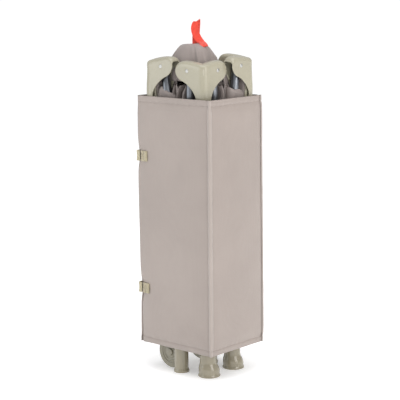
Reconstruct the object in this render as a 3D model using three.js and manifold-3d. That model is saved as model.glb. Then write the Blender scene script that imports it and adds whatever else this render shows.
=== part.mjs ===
// Folding playpen (travel cot), folded upright and wrapped in its own four-panel floor mat.
// Millimetres, +Z up, the floor at z = 0. The front face of the mat looks along -Y.

import * as THREE from 'three';
import { mergeVertices } from 'three/addons/utils/BufferGeometryUtils.js';
import Module from 'manifold-3d';

const wasm = await Module();
wasm.setup();

// ---------------------------------------------------------------- driving dimensions

// the wrapped mat
const MAT_WIDTH = 226;
const MAT_DEPTH = 184;
const MAT_HEIGHT = 600;
const MAT_THICK = 11;
const MAT_BASE = 67;
const MAT_EDGE_ROUND = 3;
const PANEL_GAP = 1;
const LEFT_PANEL_SET_BACK = 4;

// the two closing straps at the front left corner
const STRAP_HEIGHT = 25;
const STRAP_THICK = 2;
const STRAP_STAND_OFF = 0.5;
const STRAP_WRAP = 42;
const STRAP_SEWN = 19;
const STRAP_UPPER_Z = 524;
const STRAP_LOWER_Z = 203;
const STRAP_HINGE_GAP = 2.5;

// corner brackets
const WING_LONG = 87;
const WING_SHORT = 77;
const WING_WALL = 2.2;
const RAIL_SIDE_PLAY = 1.3;
const WING_ROUND = 8;
const WING_CREST = 0.68;
const WING_TIP_START = 0.76;
const WING_TIP_FALL = 11;
const SLEEVE_WALL = 2;
const SLEEVE_ROUND = 4;
const SLEEVE_LENGTH = 150;
const LOBE_RISE = 6;
const RIVET_LONG = 50;
const RIVET_SHORT = 46;
const RIVET_DROP = 21;
const BRACKET_TOP = 755;
const BRACKET_INSET = 2;
const ROOF_TO_POST = 14;

// tubes
const POST_RADIUS = 9;
const POST_WALL = 1.5;
const RAIL_RADIUS = 10;
const RAIL_WALL = 1.5;
const RAIL_LONG = 325;
const RAIL_SHORT = 252;
const RAIL_OVERHANG = 12;
const RIVET_RADIUS = 2.5;
const RIVET_HEAD = 4.5;
const RIVET_DOME = 1.4;

// feet
const FOOT_RIM_RADIUS = 27;
const FOOT_BODY_RADIUS = 24;
const FOOT_NECK_RADIUS = 20;
const FOOT_RIM_HEIGHT = 4;
const FOOT_SHOULDER = 38;
const FOOT_NECK = 52;
const COLLAR_WALL = 4;
const POD_RADIUS = 17;
const POD_RIM = 19;
const POD_HEIGHT = 40;
const SOCKET_DEPTH = 36;
const SOCKET_FLOOR = 3.5;
const LUG_RADIUS = 9;
const LUG_REACH = 23;
const LUG_TOP = 108;
const LUG_BASE = 70;

// wheels
const WHEEL_RADIUS = 40;
const WHEEL_WIDTH = 13;
const WHEEL_LIFT = 4;
const WHEEL_REACH = 30;
const WHEEL_SIDE_PLAY = 1.2;
const WHEEL_TIP_PLAY = 1.5;
const WHEEL_DISH = 2;
const WHEEL_HUB_RADIUS = 13;
const TREAD_DEPTH = 11;
const TREAD_ROUND = 3;
const AXLE_RADIUS = 4;
const AXLE_HEAD_RADIUS = 9;
const AXLE_HEAD_HEIGHT = 3.6;
const AXLE_HEAD_PLAY = 0.5;
const CHEEK_THICK = 6;
const CHEEK_RADIUS = 28;

// centre locks of the folded rails
const LOCK_PIVOTS = 35;
const LOCK_WALL = 2.2;
const LOCK_PLAY = 1;
const LOCK_END_PLAY = 1;
const LOCK_FLOOR = 12;
const LOCK_UNDER_RAIL = 4;
const LOCK_HEIGHT = 50;
const BUTTON_LENGTH = 22;
const BUTTON_WIDTH = 11;
const BUTTON_PROUD = 4;
const BUTTON_HEIGHT = 15;

// base spokes and hub
const SPOKE_RADIUS = 5;
const SPOKE_LENGTH = 465;
const HUB_RADIUS = 34;
const HUB_HEIGHT = 26;
const HUB_PITCH = 19;
const SPOKE_SEAT = 14;

// cloth
const DOME_CENTRE = [-12, -4];
const DOME_GAPS = [5, 3];
const DOME_BASE = 700;
const DOME_TOP = 786;
const DOME_WALL = 6;
const DOME_SLIT_PLAY = 3.1;
const CLOTH_BASE = 610;
const CLOTH_TOP = 696;
const CLOTH_DEPTH = 20;
const CLOTH_GAP = 4;
const CLOTH_SHOULDER = 9;
const RAIL_LEAN_SLOPE = 0.09;

// red pull strap
const PULL_WIDTH = 18;
const PULL_THICK = 1.8;
const PULL_TOP = 851;
const PULL_LEAN = 18;
const PULL_OPEN = 8.1;
const PULL_HINGE_ABOVE = 3;
const PULL_FOOT = 1.5;

const CLEARANCE = 0.4;
const POST_CLEARANCE = 0.5;
const CUT_BEYOND = 5;

// ---------------------------------------------------------------- materials

function finish(color, roughness, metalness) {
  return new THREE.MeshStandardMaterial({ color, roughness, metalness });
}

const MOULDED = finish(0xbab49c, 0.45, 0);
const FOOT_PLASTIC = finish(0xa59d87, 0.35, 0);
const STEEL = finish(0x8f9296, 0.35, 0.9);
const RIVET_STEEL = finish(0xd0d0cc, 0.3, 0.9);
const NYLON = finish(0xb0a69e, 0.75, 0);
const LINING = finish(0xaea29e, 0.8, 0);
const WEBBING = finish(0xc4ba9b, 0.85, 0);
const RED_WEBBING = finish(0xf0543c, 0.7, 0);
const WHEEL_RUBBER = finish(0x5c564a, 0.6, 0);
const LOCK_PLASTIC = finish(0x6f6a5e, 0.5, 0);
const BUTTON_PLASTIC = finish(0xc9493a, 0.5, 0);

// ---------------------------------------------------------------- helpers

const model = new THREE.Group();
const Z_AXIS = new THREE.Vector3(0, 0, 1);

function addMesh(name, geometry, material, parent = model) {
  const mesh = new THREE.Mesh(geometry, material);
  mesh.name = name;
  parent.add(mesh);
  return mesh;
}

// a closed geometry as a solid that can be joined and cut
function solid(geometry) {
  const bare = geometry.clone();
  bare.deleteAttribute('normal');
  bare.deleteAttribute('uv');
  const merged = mergeVertices(bare, 1e-4);
  return new wasm.Manifold(new wasm.Mesh({
    numProp: 3,
    vertProperties: new Float32Array(merged.attributes.position.array),
    triVerts: new Uint32Array(merged.index.array),
  }));
}

function geometryOf(body) {
  const out = body.getMesh();
  const geometry = new THREE.BufferGeometry();
  geometry.setAttribute('position', new THREE.BufferAttribute(new Float32Array(out.vertProperties), 3));
  geometry.setIndex(new THREE.BufferAttribute(new Uint32Array(out.triVerts), 1));
  geometry.computeVertexNormals();
  return geometry;
}

function moved(geometry, x, y, z) {
  return geometry.clone().translate(x, y, z);
}

// a round bar from one point to another
function bar(from, to, radius, sides = 12) {
  const run = to.clone().sub(from);
  const geometry = new THREE.CylinderGeometry(radius, radius, run.length(), sides);
  geometry.rotateX(Math.PI / 2);
  geometry.applyQuaternion(new THREE.Quaternion().setFromUnitVectors(Z_AXIS, run.clone().normalize()));
  const middle = from.clone().add(to).multiplyScalar(0.5);
  return moved(geometry, middle.x, middle.y, middle.z);
}

// a box given by its lowest and highest corners
function block(low, high) {
  const size = high.map((value, i) => value - low[i]);
  const box = new THREE.BoxGeometry(...size);
  return moved(box, (low[0] + high[0]) / 2, (low[1] + high[1]) / 2, (low[2] + high[2]) / 2);
}

// a rectangle with round corners, centred
function roundedOutline(width, depth, radius) {
  const w = width / 2;
  const d = depth / 2;
  const shape = new THREE.Shape();
  shape.moveTo(-w + radius, -d);
  shape.lineTo(w - radius, -d);
  shape.absarc(w - radius, -d + radius, radius, -Math.PI / 2, 0);
  shape.absarc(w - radius, d - radius, radius, 0, Math.PI / 2);
  shape.absarc(-w + radius, d - radius, radius, Math.PI / 2, Math.PI);
  shape.absarc(-w + radius, -d + radius, radius, Math.PI, Math.PI * 1.5);
  return shape;
}

function roundedBar(width, depth, radius, height, curveSegments = 3) {
  const outline = roundedOutline(width, depth, radius);
  return new THREE.ExtrudeGeometry(outline, { depth: height, bevelEnabled: false, curveSegments });
}

// a turned piece from [radius, height] pairs that start and end on the axis
function turned(pairs, sides) {
  const geometry = new THREE.LatheGeometry(pairs.map(([r, z]) => new THREE.Vector2(r, z)), sides);
  return geometry.rotateX(Math.PI / 2);
}

// the value at x on a line through [x, value] pairs
function along(pairs, x) {
  const last = pairs.length - 1;
  if (x <= pairs[0][0]) return pairs[0][1];
  if (x >= pairs[last][0]) return pairs[last][1];
  const i = pairs.findIndex(([px]) => px > x);
  const [x0, v0] = pairs[i - 1];
  const [x1, v1] = pairs[i];
  return v0 + ((v1 - v0) * (x - x0)) / (x1 - x0);
}

// ---------------------------------------------------------------- corner bracket

const WING_WIDTH = 2 * (RAIL_RADIUS + RAIL_SIDE_PLAY + WING_WALL);
const SLEEVE_SIDE = 2 * (POST_RADIUS + SLEEVE_WALL);
const HALF_SLEEVE = SLEEVE_SIDE / 2;
const WING_MIDDLE = -HALF_SLEEVE + WING_WIDTH / 2;
const WINGS = {
  long: { length: WING_LONG, rivet: RIVET_LONG - HALF_SLEEVE },
  short: { length: WING_SHORT, rivet: RIVET_SHORT - HALF_SLEEVE },
};

// outlines of a wing: t runs from 0 at the outer corner to 1 at the free end, heights are below the lobe top
const topLine = (t) => -LOBE_RISE * (1 - Math.sin((Math.PI / 2) * Math.min(t / WING_CREST, 1)))
  - WING_TIP_FALL * Math.max((t - WING_TIP_START) / (1 - WING_TIP_START), 0) ** 2;
const OUTER_HEM = [[0.2, -93], [0.28, -81], [0.36, -71], [0.52, -58], [0.67, -48], [0.84, -42], [0.93, -37],
  [1, -28]];
const INNER_HEM = [[0.2, -93], [0.28, -81], [0.44, -76], [0.54, -70], [0.64, -70], [0.74, -54], [0.86, -42],
  [1, -30]];

// an upside-down channel that runs along +X from inside the sleeve to the free end of the wing
function wingGeometry(length) {
  const steps = 9;
  const arcs = 2;
  const start = (SLEEVE_SIDE - 2 * SLEEVE_WALL) / length;
  const low = -HALF_SLEEVE;
  const high = low + WING_WIDTH;
  const rings = [];
  for (let i = 0; i <= steps; i += 1) {
    const t = start + ((1 - start) * i) / steps;
    const x = t * length - HALF_SLEEVE;
    const top = topLine(t);
    const outside = [];
    const inside = [];
    const put = (v, z, nv, nz) => {
      outside.push([x, v, z]);
      inside.push([x, v - nv * WING_WALL, z - nz * WING_WALL]);
    };
    put(low, along(OUTER_HEM, t), -1, 0);
    for (const [middle, from] of [[low + WING_ROUND, Math.PI], [high - WING_ROUND, Math.PI / 2]]) {
      for (let k = 0; k <= arcs; k += 1) {
        const a = from - (k / arcs) * (Math.PI / 2);
        const across = Math.cos(a);
        const rise = Math.sin(a);
        put(middle + WING_ROUND * across, top - WING_ROUND + WING_ROUND * rise, across, rise);
      }
    }
    put(high, along(INNER_HEM, t), 1, 0);
    rings.push([...outside, ...inside.reverse()]);
  }
  const count = rings[0].length;
  const index = [];
  for (let s = 0; s < rings.length - 1; s += 1) {
    for (let k = 0; k < count; k += 1) {
      const a = s * count + k;
      const b = s * count + ((k + 1) % count);
      index.push(a, b + count, b, a, a + count, b + count);
    }
  }
  const end = (rings.length - 1) * count;
  for (let k = 0; k < count / 2 - 1; k += 1) {
    const inner = count - 1 - k;
    index.push(k, k + 1, inner, k + 1, inner - 1, inner);
    index.push(end + k, end + inner, end + k + 1, end + k + 1, end + inner, end + inner - 1);
  }
  const geometry = new THREE.BufferGeometry();
  geometry.setAttribute('position', new THREE.Float32BufferAttribute(rings.flat(2), 3));
  geometry.setIndex(index);
  return geometry;
}

// the bracket in its own frame: post axis on Z, lobe top at z = 0, wing a along +X and wing b along +Y
function bracketGeometry([wingA, wingB]) {
  const sleeve = moved(roundedBar(SLEEVE_SIDE, SLEEVE_SIDE, SLEEVE_ROUND, SLEEVE_LENGTH - LOBE_RISE, 2),
    0, 0, -SLEEVE_LENGTH);
  const bore = bar(new THREE.Vector3(0, 0, -SLEEVE_LENGTH - CUT_BEYOND),
    new THREE.Vector3(0, 0, -LOBE_RISE - ROOF_TO_POST), POST_RADIUS + POST_CLEARANCE);
  const hole = (wing) => bar(new THREE.Vector3(wing.rivet, -SLEEVE_SIDE, -RIVET_DROP),
    new THREE.Vector3(wing.rivet, SLEEVE_SIDE * 2, -RIVET_DROP), RIVET_RADIUS + CLEARANCE, 8);
  return geometryOf(solid(wingGeometry(wingA.length))
    .add(solid(mirrorDiagonal(wingGeometry(wingB.length))))
    .add(solid(sleeve))
    .subtract(solid(bore))
    .subtract(solid(hole(wingA)))
    .subtract(solid(mirrorDiagonal(hole(wingB)))));
}

// swaps x and y, so that what runs along +X runs along +Y
function mirrorDiagonal(geometry) {
  const out = geometry.clone();
  const position = out.attributes.position;
  for (let i = 0; i < position.count; i += 1) {
    position.setXYZ(i, position.getY(i), position.getX(i), position.getZ(i));
  }
  const index = out.index ? Array.from(out.index.array) : [...Array(position.count).keys()];
  for (let i = 0; i < index.length; i += 3) [index[i], index[i + 1]] = [index[i + 1], index[i]];
  out.setIndex(index);
  return out;
}

// ---------------------------------------------------------------- feet

const WHEEL_Z = WHEEL_RADIUS + WHEEL_LIFT;
const SOCKET_BASE = WHEEL_Z + WHEEL_RADIUS + WHEEL_TIP_PLAY + SOCKET_FLOOR;
const FOOT_HEIGHT = SOCKET_BASE + SOCKET_DEPTH;

function bellFoot() {
  return solid(turned([
    [0, 0], [FOOT_RIM_RADIUS, 0], [FOOT_RIM_RADIUS, FOOT_RIM_HEIGHT],
    [FOOT_BODY_RADIUS + 1, FOOT_RIM_HEIGHT + 3], [FOOT_BODY_RADIUS, FOOT_SHOULDER - 12],
    [FOOT_NECK_RADIUS + 3, FOOT_SHOULDER], [FOOT_NECK_RADIUS + 1, FOOT_SHOULDER + 6],
    [FOOT_NECK_RADIUS, FOOT_NECK], [POST_RADIUS + COLLAR_WALL + 3, FOOT_HEIGHT - 6],
    [POST_RADIUS + COLLAR_WALL, FOOT_HEIGHT], [0, FOOT_HEIGHT],
  ], 20));
}

// the pod with a slot for the wheel, and the cheek behind the wheel that holds its axle
function wheelFoot(cheekSide) {
  const pod = solid(turned([
    [0, 0], [POD_RIM, 0], [POD_RIM, FOOT_RIM_HEIGHT + 1], [POD_RADIUS, FOOT_RIM_HEIGHT + 5],
    [POD_RADIUS, POD_HEIGHT], [POD_RADIUS - 1, FOOT_HEIGHT - 6],
    [POST_RADIUS + COLLAR_WALL, FOOT_HEIGHT], [0, FOOT_HEIGHT],
  ], 20));
  const slotHalf = WHEEL_WIDTH / 2 + WHEEL_SIDE_PLAY;
  const slot = solid(bar(new THREE.Vector3(-WHEEL_REACH, -slotHalf, WHEEL_Z),
    new THREE.Vector3(-WHEEL_REACH, slotHalf, WHEEL_Z), WHEEL_RADIUS + WHEEL_TIP_PLAY, 24));
  const nearFace = cheekSide * slotHalf;
  const farFace = cheekSide * (slotHalf + CHEEK_THICK);
  const cheek = solid(bar(new THREE.Vector3(-WHEEL_REACH, nearFace, WHEEL_Z),
    new THREE.Vector3(-WHEEL_REACH, farFace, WHEEL_Z), CHEEK_RADIUS, 20));
  const axleHole = solid(bar(new THREE.Vector3(-WHEEL_REACH, -POD_RIM * 2, WHEEL_Z),
    new THREE.Vector3(-WHEEL_REACH, POD_RIM * 2, WHEEL_Z), AXLE_RADIUS + CLEARANCE));
  return { body: pod.add(cheek), cuts: [slot, axleHole] };
}

// ---------------------------------------------------------------- the four corners

const INNER_X = MAT_WIDTH / 2 - MAT_THICK;
const INNER_Y = MAT_DEPTH / 2 - MAT_THICK;
const CORNER_X = INNER_X - BRACKET_INSET - HALF_SLEEVE;
const CORNER_Y = INNER_Y - BRACKET_INSET - HALF_SLEEVE;

// turn is in quarter turns of the bracket; inset and lift say how the corner sits in the bundle, and
// footInset how far the foot is in from the inner faces of the mat
const CORNERS = [
  { name: 'front_left', side: [-1, -1], turn: 0, footInset: [81, 31], wheel: 1, inset: 0, lift: 0 },
  { name: 'front_right', side: [1, -1], turn: 1, footInset: [47, 46], wheel: 0, inset: 16, lift: -4 },
  { name: 'back_right', side: [1, 1], turn: 2, footInset: [49, 25], wheel: 0, inset: 0, lift: 5 },
  { name: 'back_left', side: [-1, 1], turn: 3, footInset: [84, 29], wheel: -1, inset: 0, lift: 2 },
];

const SPOKE_START_Z = LUG_BASE + 14;

function placeCorner(corner) {
  const [sx, sy] = corner.side;
  const top = new THREE.Vector3(sx * (CORNER_X - corner.inset), sy * CORNER_Y, BRACKET_TOP + corner.lift);
  const foot = [sx * (INNER_X - corner.footInset[0]), sy * (INNER_Y - corner.footInset[1])];
  const base = new THREE.Vector3(foot[0], foot[1], SOCKET_BASE);
  const axis = top.clone().sub(base).normalize();
  const frame = new THREE.Group();
  frame.position.copy(top);
  frame.quaternion.setFromUnitVectors(Z_AXIS, axis);
  const bracketGroup = new THREE.Group();
  bracketGroup.rotation.z = corner.turn * (Math.PI / 2);
  frame.add(bracketGroup);
  frame.updateMatrixWorld(true);
  const wings = corner.turn % 2 ? [WINGS.short, WINGS.long] : [WINGS.long, WINGS.short];
  return { ...corner, foot, top, base, axis, frame, bracketGroup, wings };
}

const corners = CORNERS.map(placeCorner);

// a rivet point of a bracket in the model's frame: wing 0 runs along the bracket's X, wing 1 along Y
function rivetPoint(corner, wing) {
  const reach = corner.wings[wing].rivet;
  const local = wing === 0
    ? new THREE.Vector3(reach, WING_MIDDLE, -RIVET_DROP)
    : new THREE.Vector3(WING_MIDDLE, reach, -RIVET_DROP);
  return corner.bracketGroup.localToWorld(local);
}

function rivetGeometry() {
  const reach = WING_WIDTH / 2 + CLEARANCE;
  const domed = turned([
    [0, -reach - RIVET_DOME], [RIVET_HEAD * 0.7, -reach - RIVET_DOME * 0.7], [RIVET_HEAD, -reach],
    [RIVET_RADIUS, -reach], [RIVET_RADIUS, reach], [RIVET_HEAD, reach],
    [RIVET_HEAD * 0.7, reach + RIVET_DOME * 0.7], [0, reach + RIVET_DOME],
  ], 12);
  return domed.rotateX(Math.PI / 2);
}

const hubCentre = new THREE.Vector3(DOME_CENTRE[0], DOME_CENTRE[1], 0);
const spokes = [];

for (const corner of corners) {
  model.add(corner.frame);
  addMesh(`bracket_${corner.name}`, bracketGeometry(corner.wings), MOULDED, corner.bracketGroup);

  // rivets, one across each wing
  for (const wing of [0, 1]) {
    const rivet = addMesh(`rail_rivet_${corner.name}_${wing === 0 ? 'a' : 'b'}`, rivetGeometry(), RIVET_STEEL,
      corner.bracketGroup);
    const reach = corner.wings[wing].rivet;
    rivet.position.set(wing === 0 ? reach : WING_MIDDLE, wing === 0 ? WING_MIDDLE : reach, -RIVET_DROP);
    rivet.rotation.z = wing === 0 ? 0 : Math.PI / 2;
  }

  // the post runs from the foot socket to just under the bracket roof
  const postTop = corner.top.clone().addScaledVector(corner.axis, -LOBE_RISE - ROOF_TO_POST - 1);
  const postBase = corner.base.clone().addScaledVector(corner.axis, 1);
  const tube = solid(bar(postBase, postTop, POST_RADIUS));
  const hollow = solid(bar(corner.base.clone().addScaledVector(corner.axis, -CUT_BEYOND),
    postTop.clone().addScaledVector(corner.axis, CUT_BEYOND), POST_RADIUS - POST_WALL));
  addMesh(`post_tube_${corner.name}`, geometryOf(tube.subtract(hollow)), STEEL);

  // the foot: bell or wheel pod, a lug for the base spoke, and both sockets
  const { body, cuts } = corner.wheel ? wheelFoot(corner.wheel) : { body: bellFoot(), cuts: [] };
  const footAt = new THREE.Vector3(corner.foot[0], corner.foot[1], 0);
  const towardHub = hubCentre.clone().sub(footAt).normalize();
  const lugAt = footAt.clone().addScaledVector(towardHub, LUG_REACH);
  const spokeLow = new THREE.Vector3(lugAt.x, lugAt.y, SPOKE_START_Z);
  const seat = hubCentre.clone().addScaledVector(towardHub, -HUB_PITCH);
  const flat = Math.hypot(seat.x - spokeLow.x, seat.y - spokeLow.y);
  const climb = Math.sqrt(SPOKE_LENGTH ** 2 - flat ** 2);
  const spokeHigh = new THREE.Vector3(seat.x, seat.y, SPOKE_START_Z + climb);
  const spokeAxis = spokeHigh.clone().sub(spokeLow).normalize();
  spokes.push({ low: spokeLow, high: spokeHigh, axis: spokeAxis, name: corner.name });

  const shift = (part) => part.translate([corner.foot[0], corner.foot[1], 0]);
  const lug = solid(bar(new THREE.Vector3(lugAt.x, lugAt.y, LUG_BASE),
    new THREE.Vector3(lugAt.x, lugAt.y, LUG_TOP), LUG_RADIUS));
  const webZ = (LUG_BASE + LUG_TOP) / 2;
  const web = solid(bar(new THREE.Vector3(corner.foot[0], corner.foot[1], webZ),
    new THREE.Vector3(lugAt.x, lugAt.y, webZ), LUG_RADIUS - 1, 12));
  const postSocket = solid(bar(corner.base, corner.base.clone().addScaledVector(corner.axis, SOCKET_DEPTH * 2),
    POST_RADIUS + POST_CLEARANCE));
  const spokeSocket = solid(bar(spokeLow.clone().addScaledVector(spokeAxis, -1),
    spokeLow.clone().addScaledVector(spokeAxis, 60), SPOKE_RADIUS + CLEARANCE, 8));
  let foot = shift(body).add(lug).add(web);
  for (const cut of cuts) foot = foot.subtract(shift(cut));
  foot = foot.subtract(postSocket).subtract(spokeSocket);
  addMesh(`foot_${corner.name}`, geometryOf(foot), FOOT_PLASTIC);
  addMesh(`base_spoke_${corner.name}`, bar(spokeLow, spokeHigh, SPOKE_RADIUS, 8), STEEL);
}

// ---------------------------------------------------------------- wheels and axles

for (const corner of corners.filter(({ wheel }) => wheel)) {
  const [x, y] = corner.foot;
  const half = WHEEL_WIDTH / 2;
  const rim = WHEEL_RADIUS;
  const tread = rim - TREAD_DEPTH;
  const bore = AXLE_RADIUS + CLEARANCE;
  const dish = WHEEL_HUB_RADIUS + WHEEL_DISH;
  const disc = turned([
    [bore, -half], [WHEEL_HUB_RADIUS, -half], [dish, -half + WHEEL_DISH],
    [tread - WHEEL_DISH, -half + WHEEL_DISH], [tread, -half], [rim - TREAD_ROUND, -half],
    [rim, -half + TREAD_ROUND], [rim, half - TREAD_ROUND], [rim - TREAD_ROUND, half],
    [tread, half], [tread - WHEEL_DISH, half - WHEEL_DISH], [dish, half - WHEEL_DISH],
    [WHEEL_HUB_RADIUS, half], [bore, half], [bore, -half],
  ], 24);
  disc.rotateX(Math.PI / 2);
  const wheel = addMesh(`wheel_${corner.name}`, disc, WHEEL_RUBBER);
  wheel.position.set(x - WHEEL_REACH, y, WHEEL_Z);

  // the axle is headed on the wheel's open side and ends in the cheek
  const headSide = -corner.wheel;
  const headFace = half + AXLE_HEAD_PLAY;
  const tip = half + WHEEL_SIDE_PLAY + CHEEK_THICK;
  const axle = turned([
    [0, -tip], [AXLE_RADIUS, -tip], [AXLE_RADIUS, headFace], [AXLE_HEAD_RADIUS, headFace],
    [AXLE_HEAD_RADIUS - 1.5, headFace + AXLE_HEAD_HEIGHT - 0.6], [0, headFace + AXLE_HEAD_HEIGHT],
  ], 20);
  axle.rotateX(headSide < 0 ? Math.PI / 2 : -Math.PI / 2);
  const axleMesh = addMesh(`wheel_axle_${corner.name}`, axle, FOOT_PLASTIC);
  axleMesh.position.copy(wheel.position);
}

// ---------------------------------------------------------------- hub

const spokeTopZ = Math.min(...spokes.map(({ high }) => high.z));
const hubBase = spokeTopZ - SPOKE_SEAT;
let hub = solid(turned([
  [0, 0], [HUB_RADIUS - 3, 0], [HUB_RADIUS, 3], [HUB_RADIUS, HUB_HEIGHT - 6],
  [HUB_RADIUS - 8, HUB_HEIGHT], [0, HUB_HEIGHT],
], 20)).translate([hubCentre.x, hubCentre.y, hubBase]);
for (const spoke of spokes) {
  hub = hub.subtract(solid(bar(spoke.high.clone().addScaledVector(spoke.axis, -60),
    spoke.high.clone().addScaledVector(spoke.axis, 1.5), SPOKE_RADIUS + CLEARANCE, 8)));
}
addMesh('base_hub', geometryOf(hub), MOULDED);

// ---------------------------------------------------------------- half rails and centre locks

// each side of the frame: two corners, the wing each rail hangs from, and the rail length
const SIDES = [
  { name: 'front', ends: [[0, 0], [1, 1]], length: RAIL_LONG },
  { name: 'right', ends: [[1, 0], [2, 1]], length: RAIL_SHORT },
  { name: 'back', ends: [[2, 0], [3, 1]], length: RAIL_LONG },
  { name: 'left', ends: [[3, 0], [0, 1]], length: RAIL_SHORT },
];

for (const side of SIDES) {
  const tops = side.ends.map(([c, wing]) => rivetPoint(corners[c], wing));
  const centre = tops[0].clone().add(tops[1]).multiplyScalar(0.5);
  const spread = tops[1].clone().sub(tops[0]);
  spread.z = 0;
  spread.normalize();
  const inward = LOCK_PIVOTS / 2;
  const reach = Math.hypot(tops[1].x - tops[0].x, tops[1].y - tops[0].y) / 2 - inward;
  const drop = Math.sqrt(side.length ** 2 - reach ** 2);
  // the rails lean inward with the brackets they hang in
  const lean = corners[side.ends[0][0]].axis.clone().add(corners[side.ends[1][0]].axis).multiplyScalar(0.5);
  const across = new THREE.Vector3(-spread.y, spread.x, 0);
  centre.addScaledVector(across, (-lean.dot(across) / lean.z) * drop);
  const up = new THREE.Vector3(0, 0, 1).addScaledVector(across, lean.dot(across) / lean.z).normalize();
  const pinAxis = up.clone().cross(spread);
  const pivots = [-1, 1].map((sign) => new THREE.Vector3(centre.x, centre.y, 0)
    .addScaledVector(spread, sign * inward));

  tops.forEach((top, i) => {
    const pivot = new THREE.Vector3(pivots[i].x, pivots[i].y, 0);
    pivot.z = top.z - Math.sqrt(side.length ** 2 - (top.x - pivot.x) ** 2 - (top.y - pivot.y) ** 2);
    pivots[i].z = pivot.z;
    const axis = top.clone().sub(pivot).normalize();
    const low = pivot.clone().addScaledVector(axis, -RAIL_OVERHANG);
    const high = top.clone().addScaledVector(axis, RAIL_OVERHANG - 1);
    const rivetAxis = i === 0
      ? new THREE.Vector3(0, 1, 0) : new THREE.Vector3(1, 0, 0);
    const corner = corners[side.ends[i][0]];
    rivetAxis.transformDirection(corner.bracketGroup.matrixWorld);
    const tube = solid(bar(low, high, RAIL_RADIUS));
    const hollow = solid(bar(low.clone().addScaledVector(axis, -CUT_BEYOND),
      high.clone().addScaledVector(axis, CUT_BEYOND), RAIL_RADIUS - RAIL_WALL));
    const upperHole = solid(bar(top.clone().addScaledVector(rivetAxis, -20),
      top.clone().addScaledVector(rivetAxis, 20), RIVET_RADIUS + 2 * CLEARANCE, 8));
    const lowerHole = solid(bar(pivot.clone().addScaledVector(pinAxis, -20),
      pivot.clone().addScaledVector(pinAxis, 20), RIVET_RADIUS + 2 * CLEARANCE, 8));
    const rail = tube.subtract(hollow).subtract(upperHole).subtract(lowerHole);
    addMesh(`half_rail_${side.name}_${i === 0 ? 'a' : 'b'}`, geometryOf(rail), STEEL);
  });

  // the lock: a trough that takes both rail ends, with a pin for each and a button through its floor
  const lock = new THREE.Group();
  lock.position.set(centre.x, centre.y, Math.min(pivots[0].z, pivots[1].z));
  lock.quaternion.setFromRotationMatrix(new THREE.Matrix4().makeBasis(spread, pinAxis, up));
  model.add(lock);
  const width = 2 * (RAIL_RADIUS + LOCK_PLAY + LOCK_WALL);
  const floorTop = -RAIL_OVERHANG - LOCK_UNDER_RAIL;
  const low = floorTop - LOCK_FLOOR;
  const mouth = low + LOCK_HEIGHT;
  const railEdge = inward + (mouth * reach) / drop + RAIL_RADIUS;
  const length = 2 * (railEdge + LOCK_END_PLAY + LOCK_WALL);
  const shell = solid(moved(roundedBar(length, width, 5, LOCK_HEIGHT), 0, 0, low));
  const trough = solid(block([-length / 2 + LOCK_WALL, -RAIL_RADIUS - LOCK_PLAY, floorTop],
    [length / 2 - LOCK_WALL, RAIL_RADIUS + LOCK_PLAY, mouth + CUT_BEYOND]));
  const pocket = solid(block([-BUTTON_LENGTH / 2 - CLEARANCE, -BUTTON_WIDTH / 2 - CLEARANCE, low - CUT_BEYOND],
    [BUTTON_LENGTH / 2 + CLEARANCE, BUTTON_WIDTH / 2 + CLEARANCE, floorTop + CUT_BEYOND]));
  let housing = shell.subtract(trough).subtract(pocket);
  pivots.forEach((pivot, i) => {
    const x = (i === 0 ? -1 : 1) * inward;
    const z = (pivot.z - lock.position.z) * up.z;
    housing = housing.add(solid(bar(new THREE.Vector3(x, -width / 2 + 0.5, z),
      new THREE.Vector3(x, width / 2 - 0.5, z), RIVET_RADIUS, 8)));
  });
  addMesh(`centre_lock_${side.name}`, geometryOf(housing), LOCK_PLASTIC, lock);
  const button = moved(roundedBar(BUTTON_LENGTH, BUTTON_WIDTH, 3, BUTTON_HEIGHT), 0, 0, low - BUTTON_PROUD);
  addMesh(`lock_button_${side.name}`, button, BUTTON_PLASTIC, lock);
}

// ---------------------------------------------------------------- floor mat

const halfW = MAT_WIDTH / 2;
const halfD = MAT_DEPTH / 2;

// a panel from its plan corners, with slightly rounded upright edges
function panel(name, x0, x1, y0, y1) {
  const body = roundedBar(x1 - x0, y1 - y0, MAT_EDGE_ROUND, MAT_HEIGHT, 2);
  addMesh(name, moved(body, (x0 + x1) / 2, (y0 + y1) / 2, MAT_BASE), NYLON);
}

panel('mat_panel_front', -INNER_X + PANEL_GAP, halfW, -halfD, -INNER_Y);
panel('mat_panel_right', INNER_X, halfW, -INNER_Y + PANEL_GAP, halfD);
panel('mat_panel_back', -halfW, INNER_X - PANEL_GAP, INNER_Y, halfD);
panel('mat_panel_left', -halfW, -INNER_X, -halfD + LEFT_PANEL_SET_BACK, INNER_Y - PANEL_GAP);

// ---------------------------------------------------------------- closing straps

const strapHingeX = -INNER_X;
const strapFrontY = -halfD - STRAP_STAND_OFF - STRAP_THICK;
const strapLeftX = -halfW - STRAP_STAND_OFF - STRAP_THICK;

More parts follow.
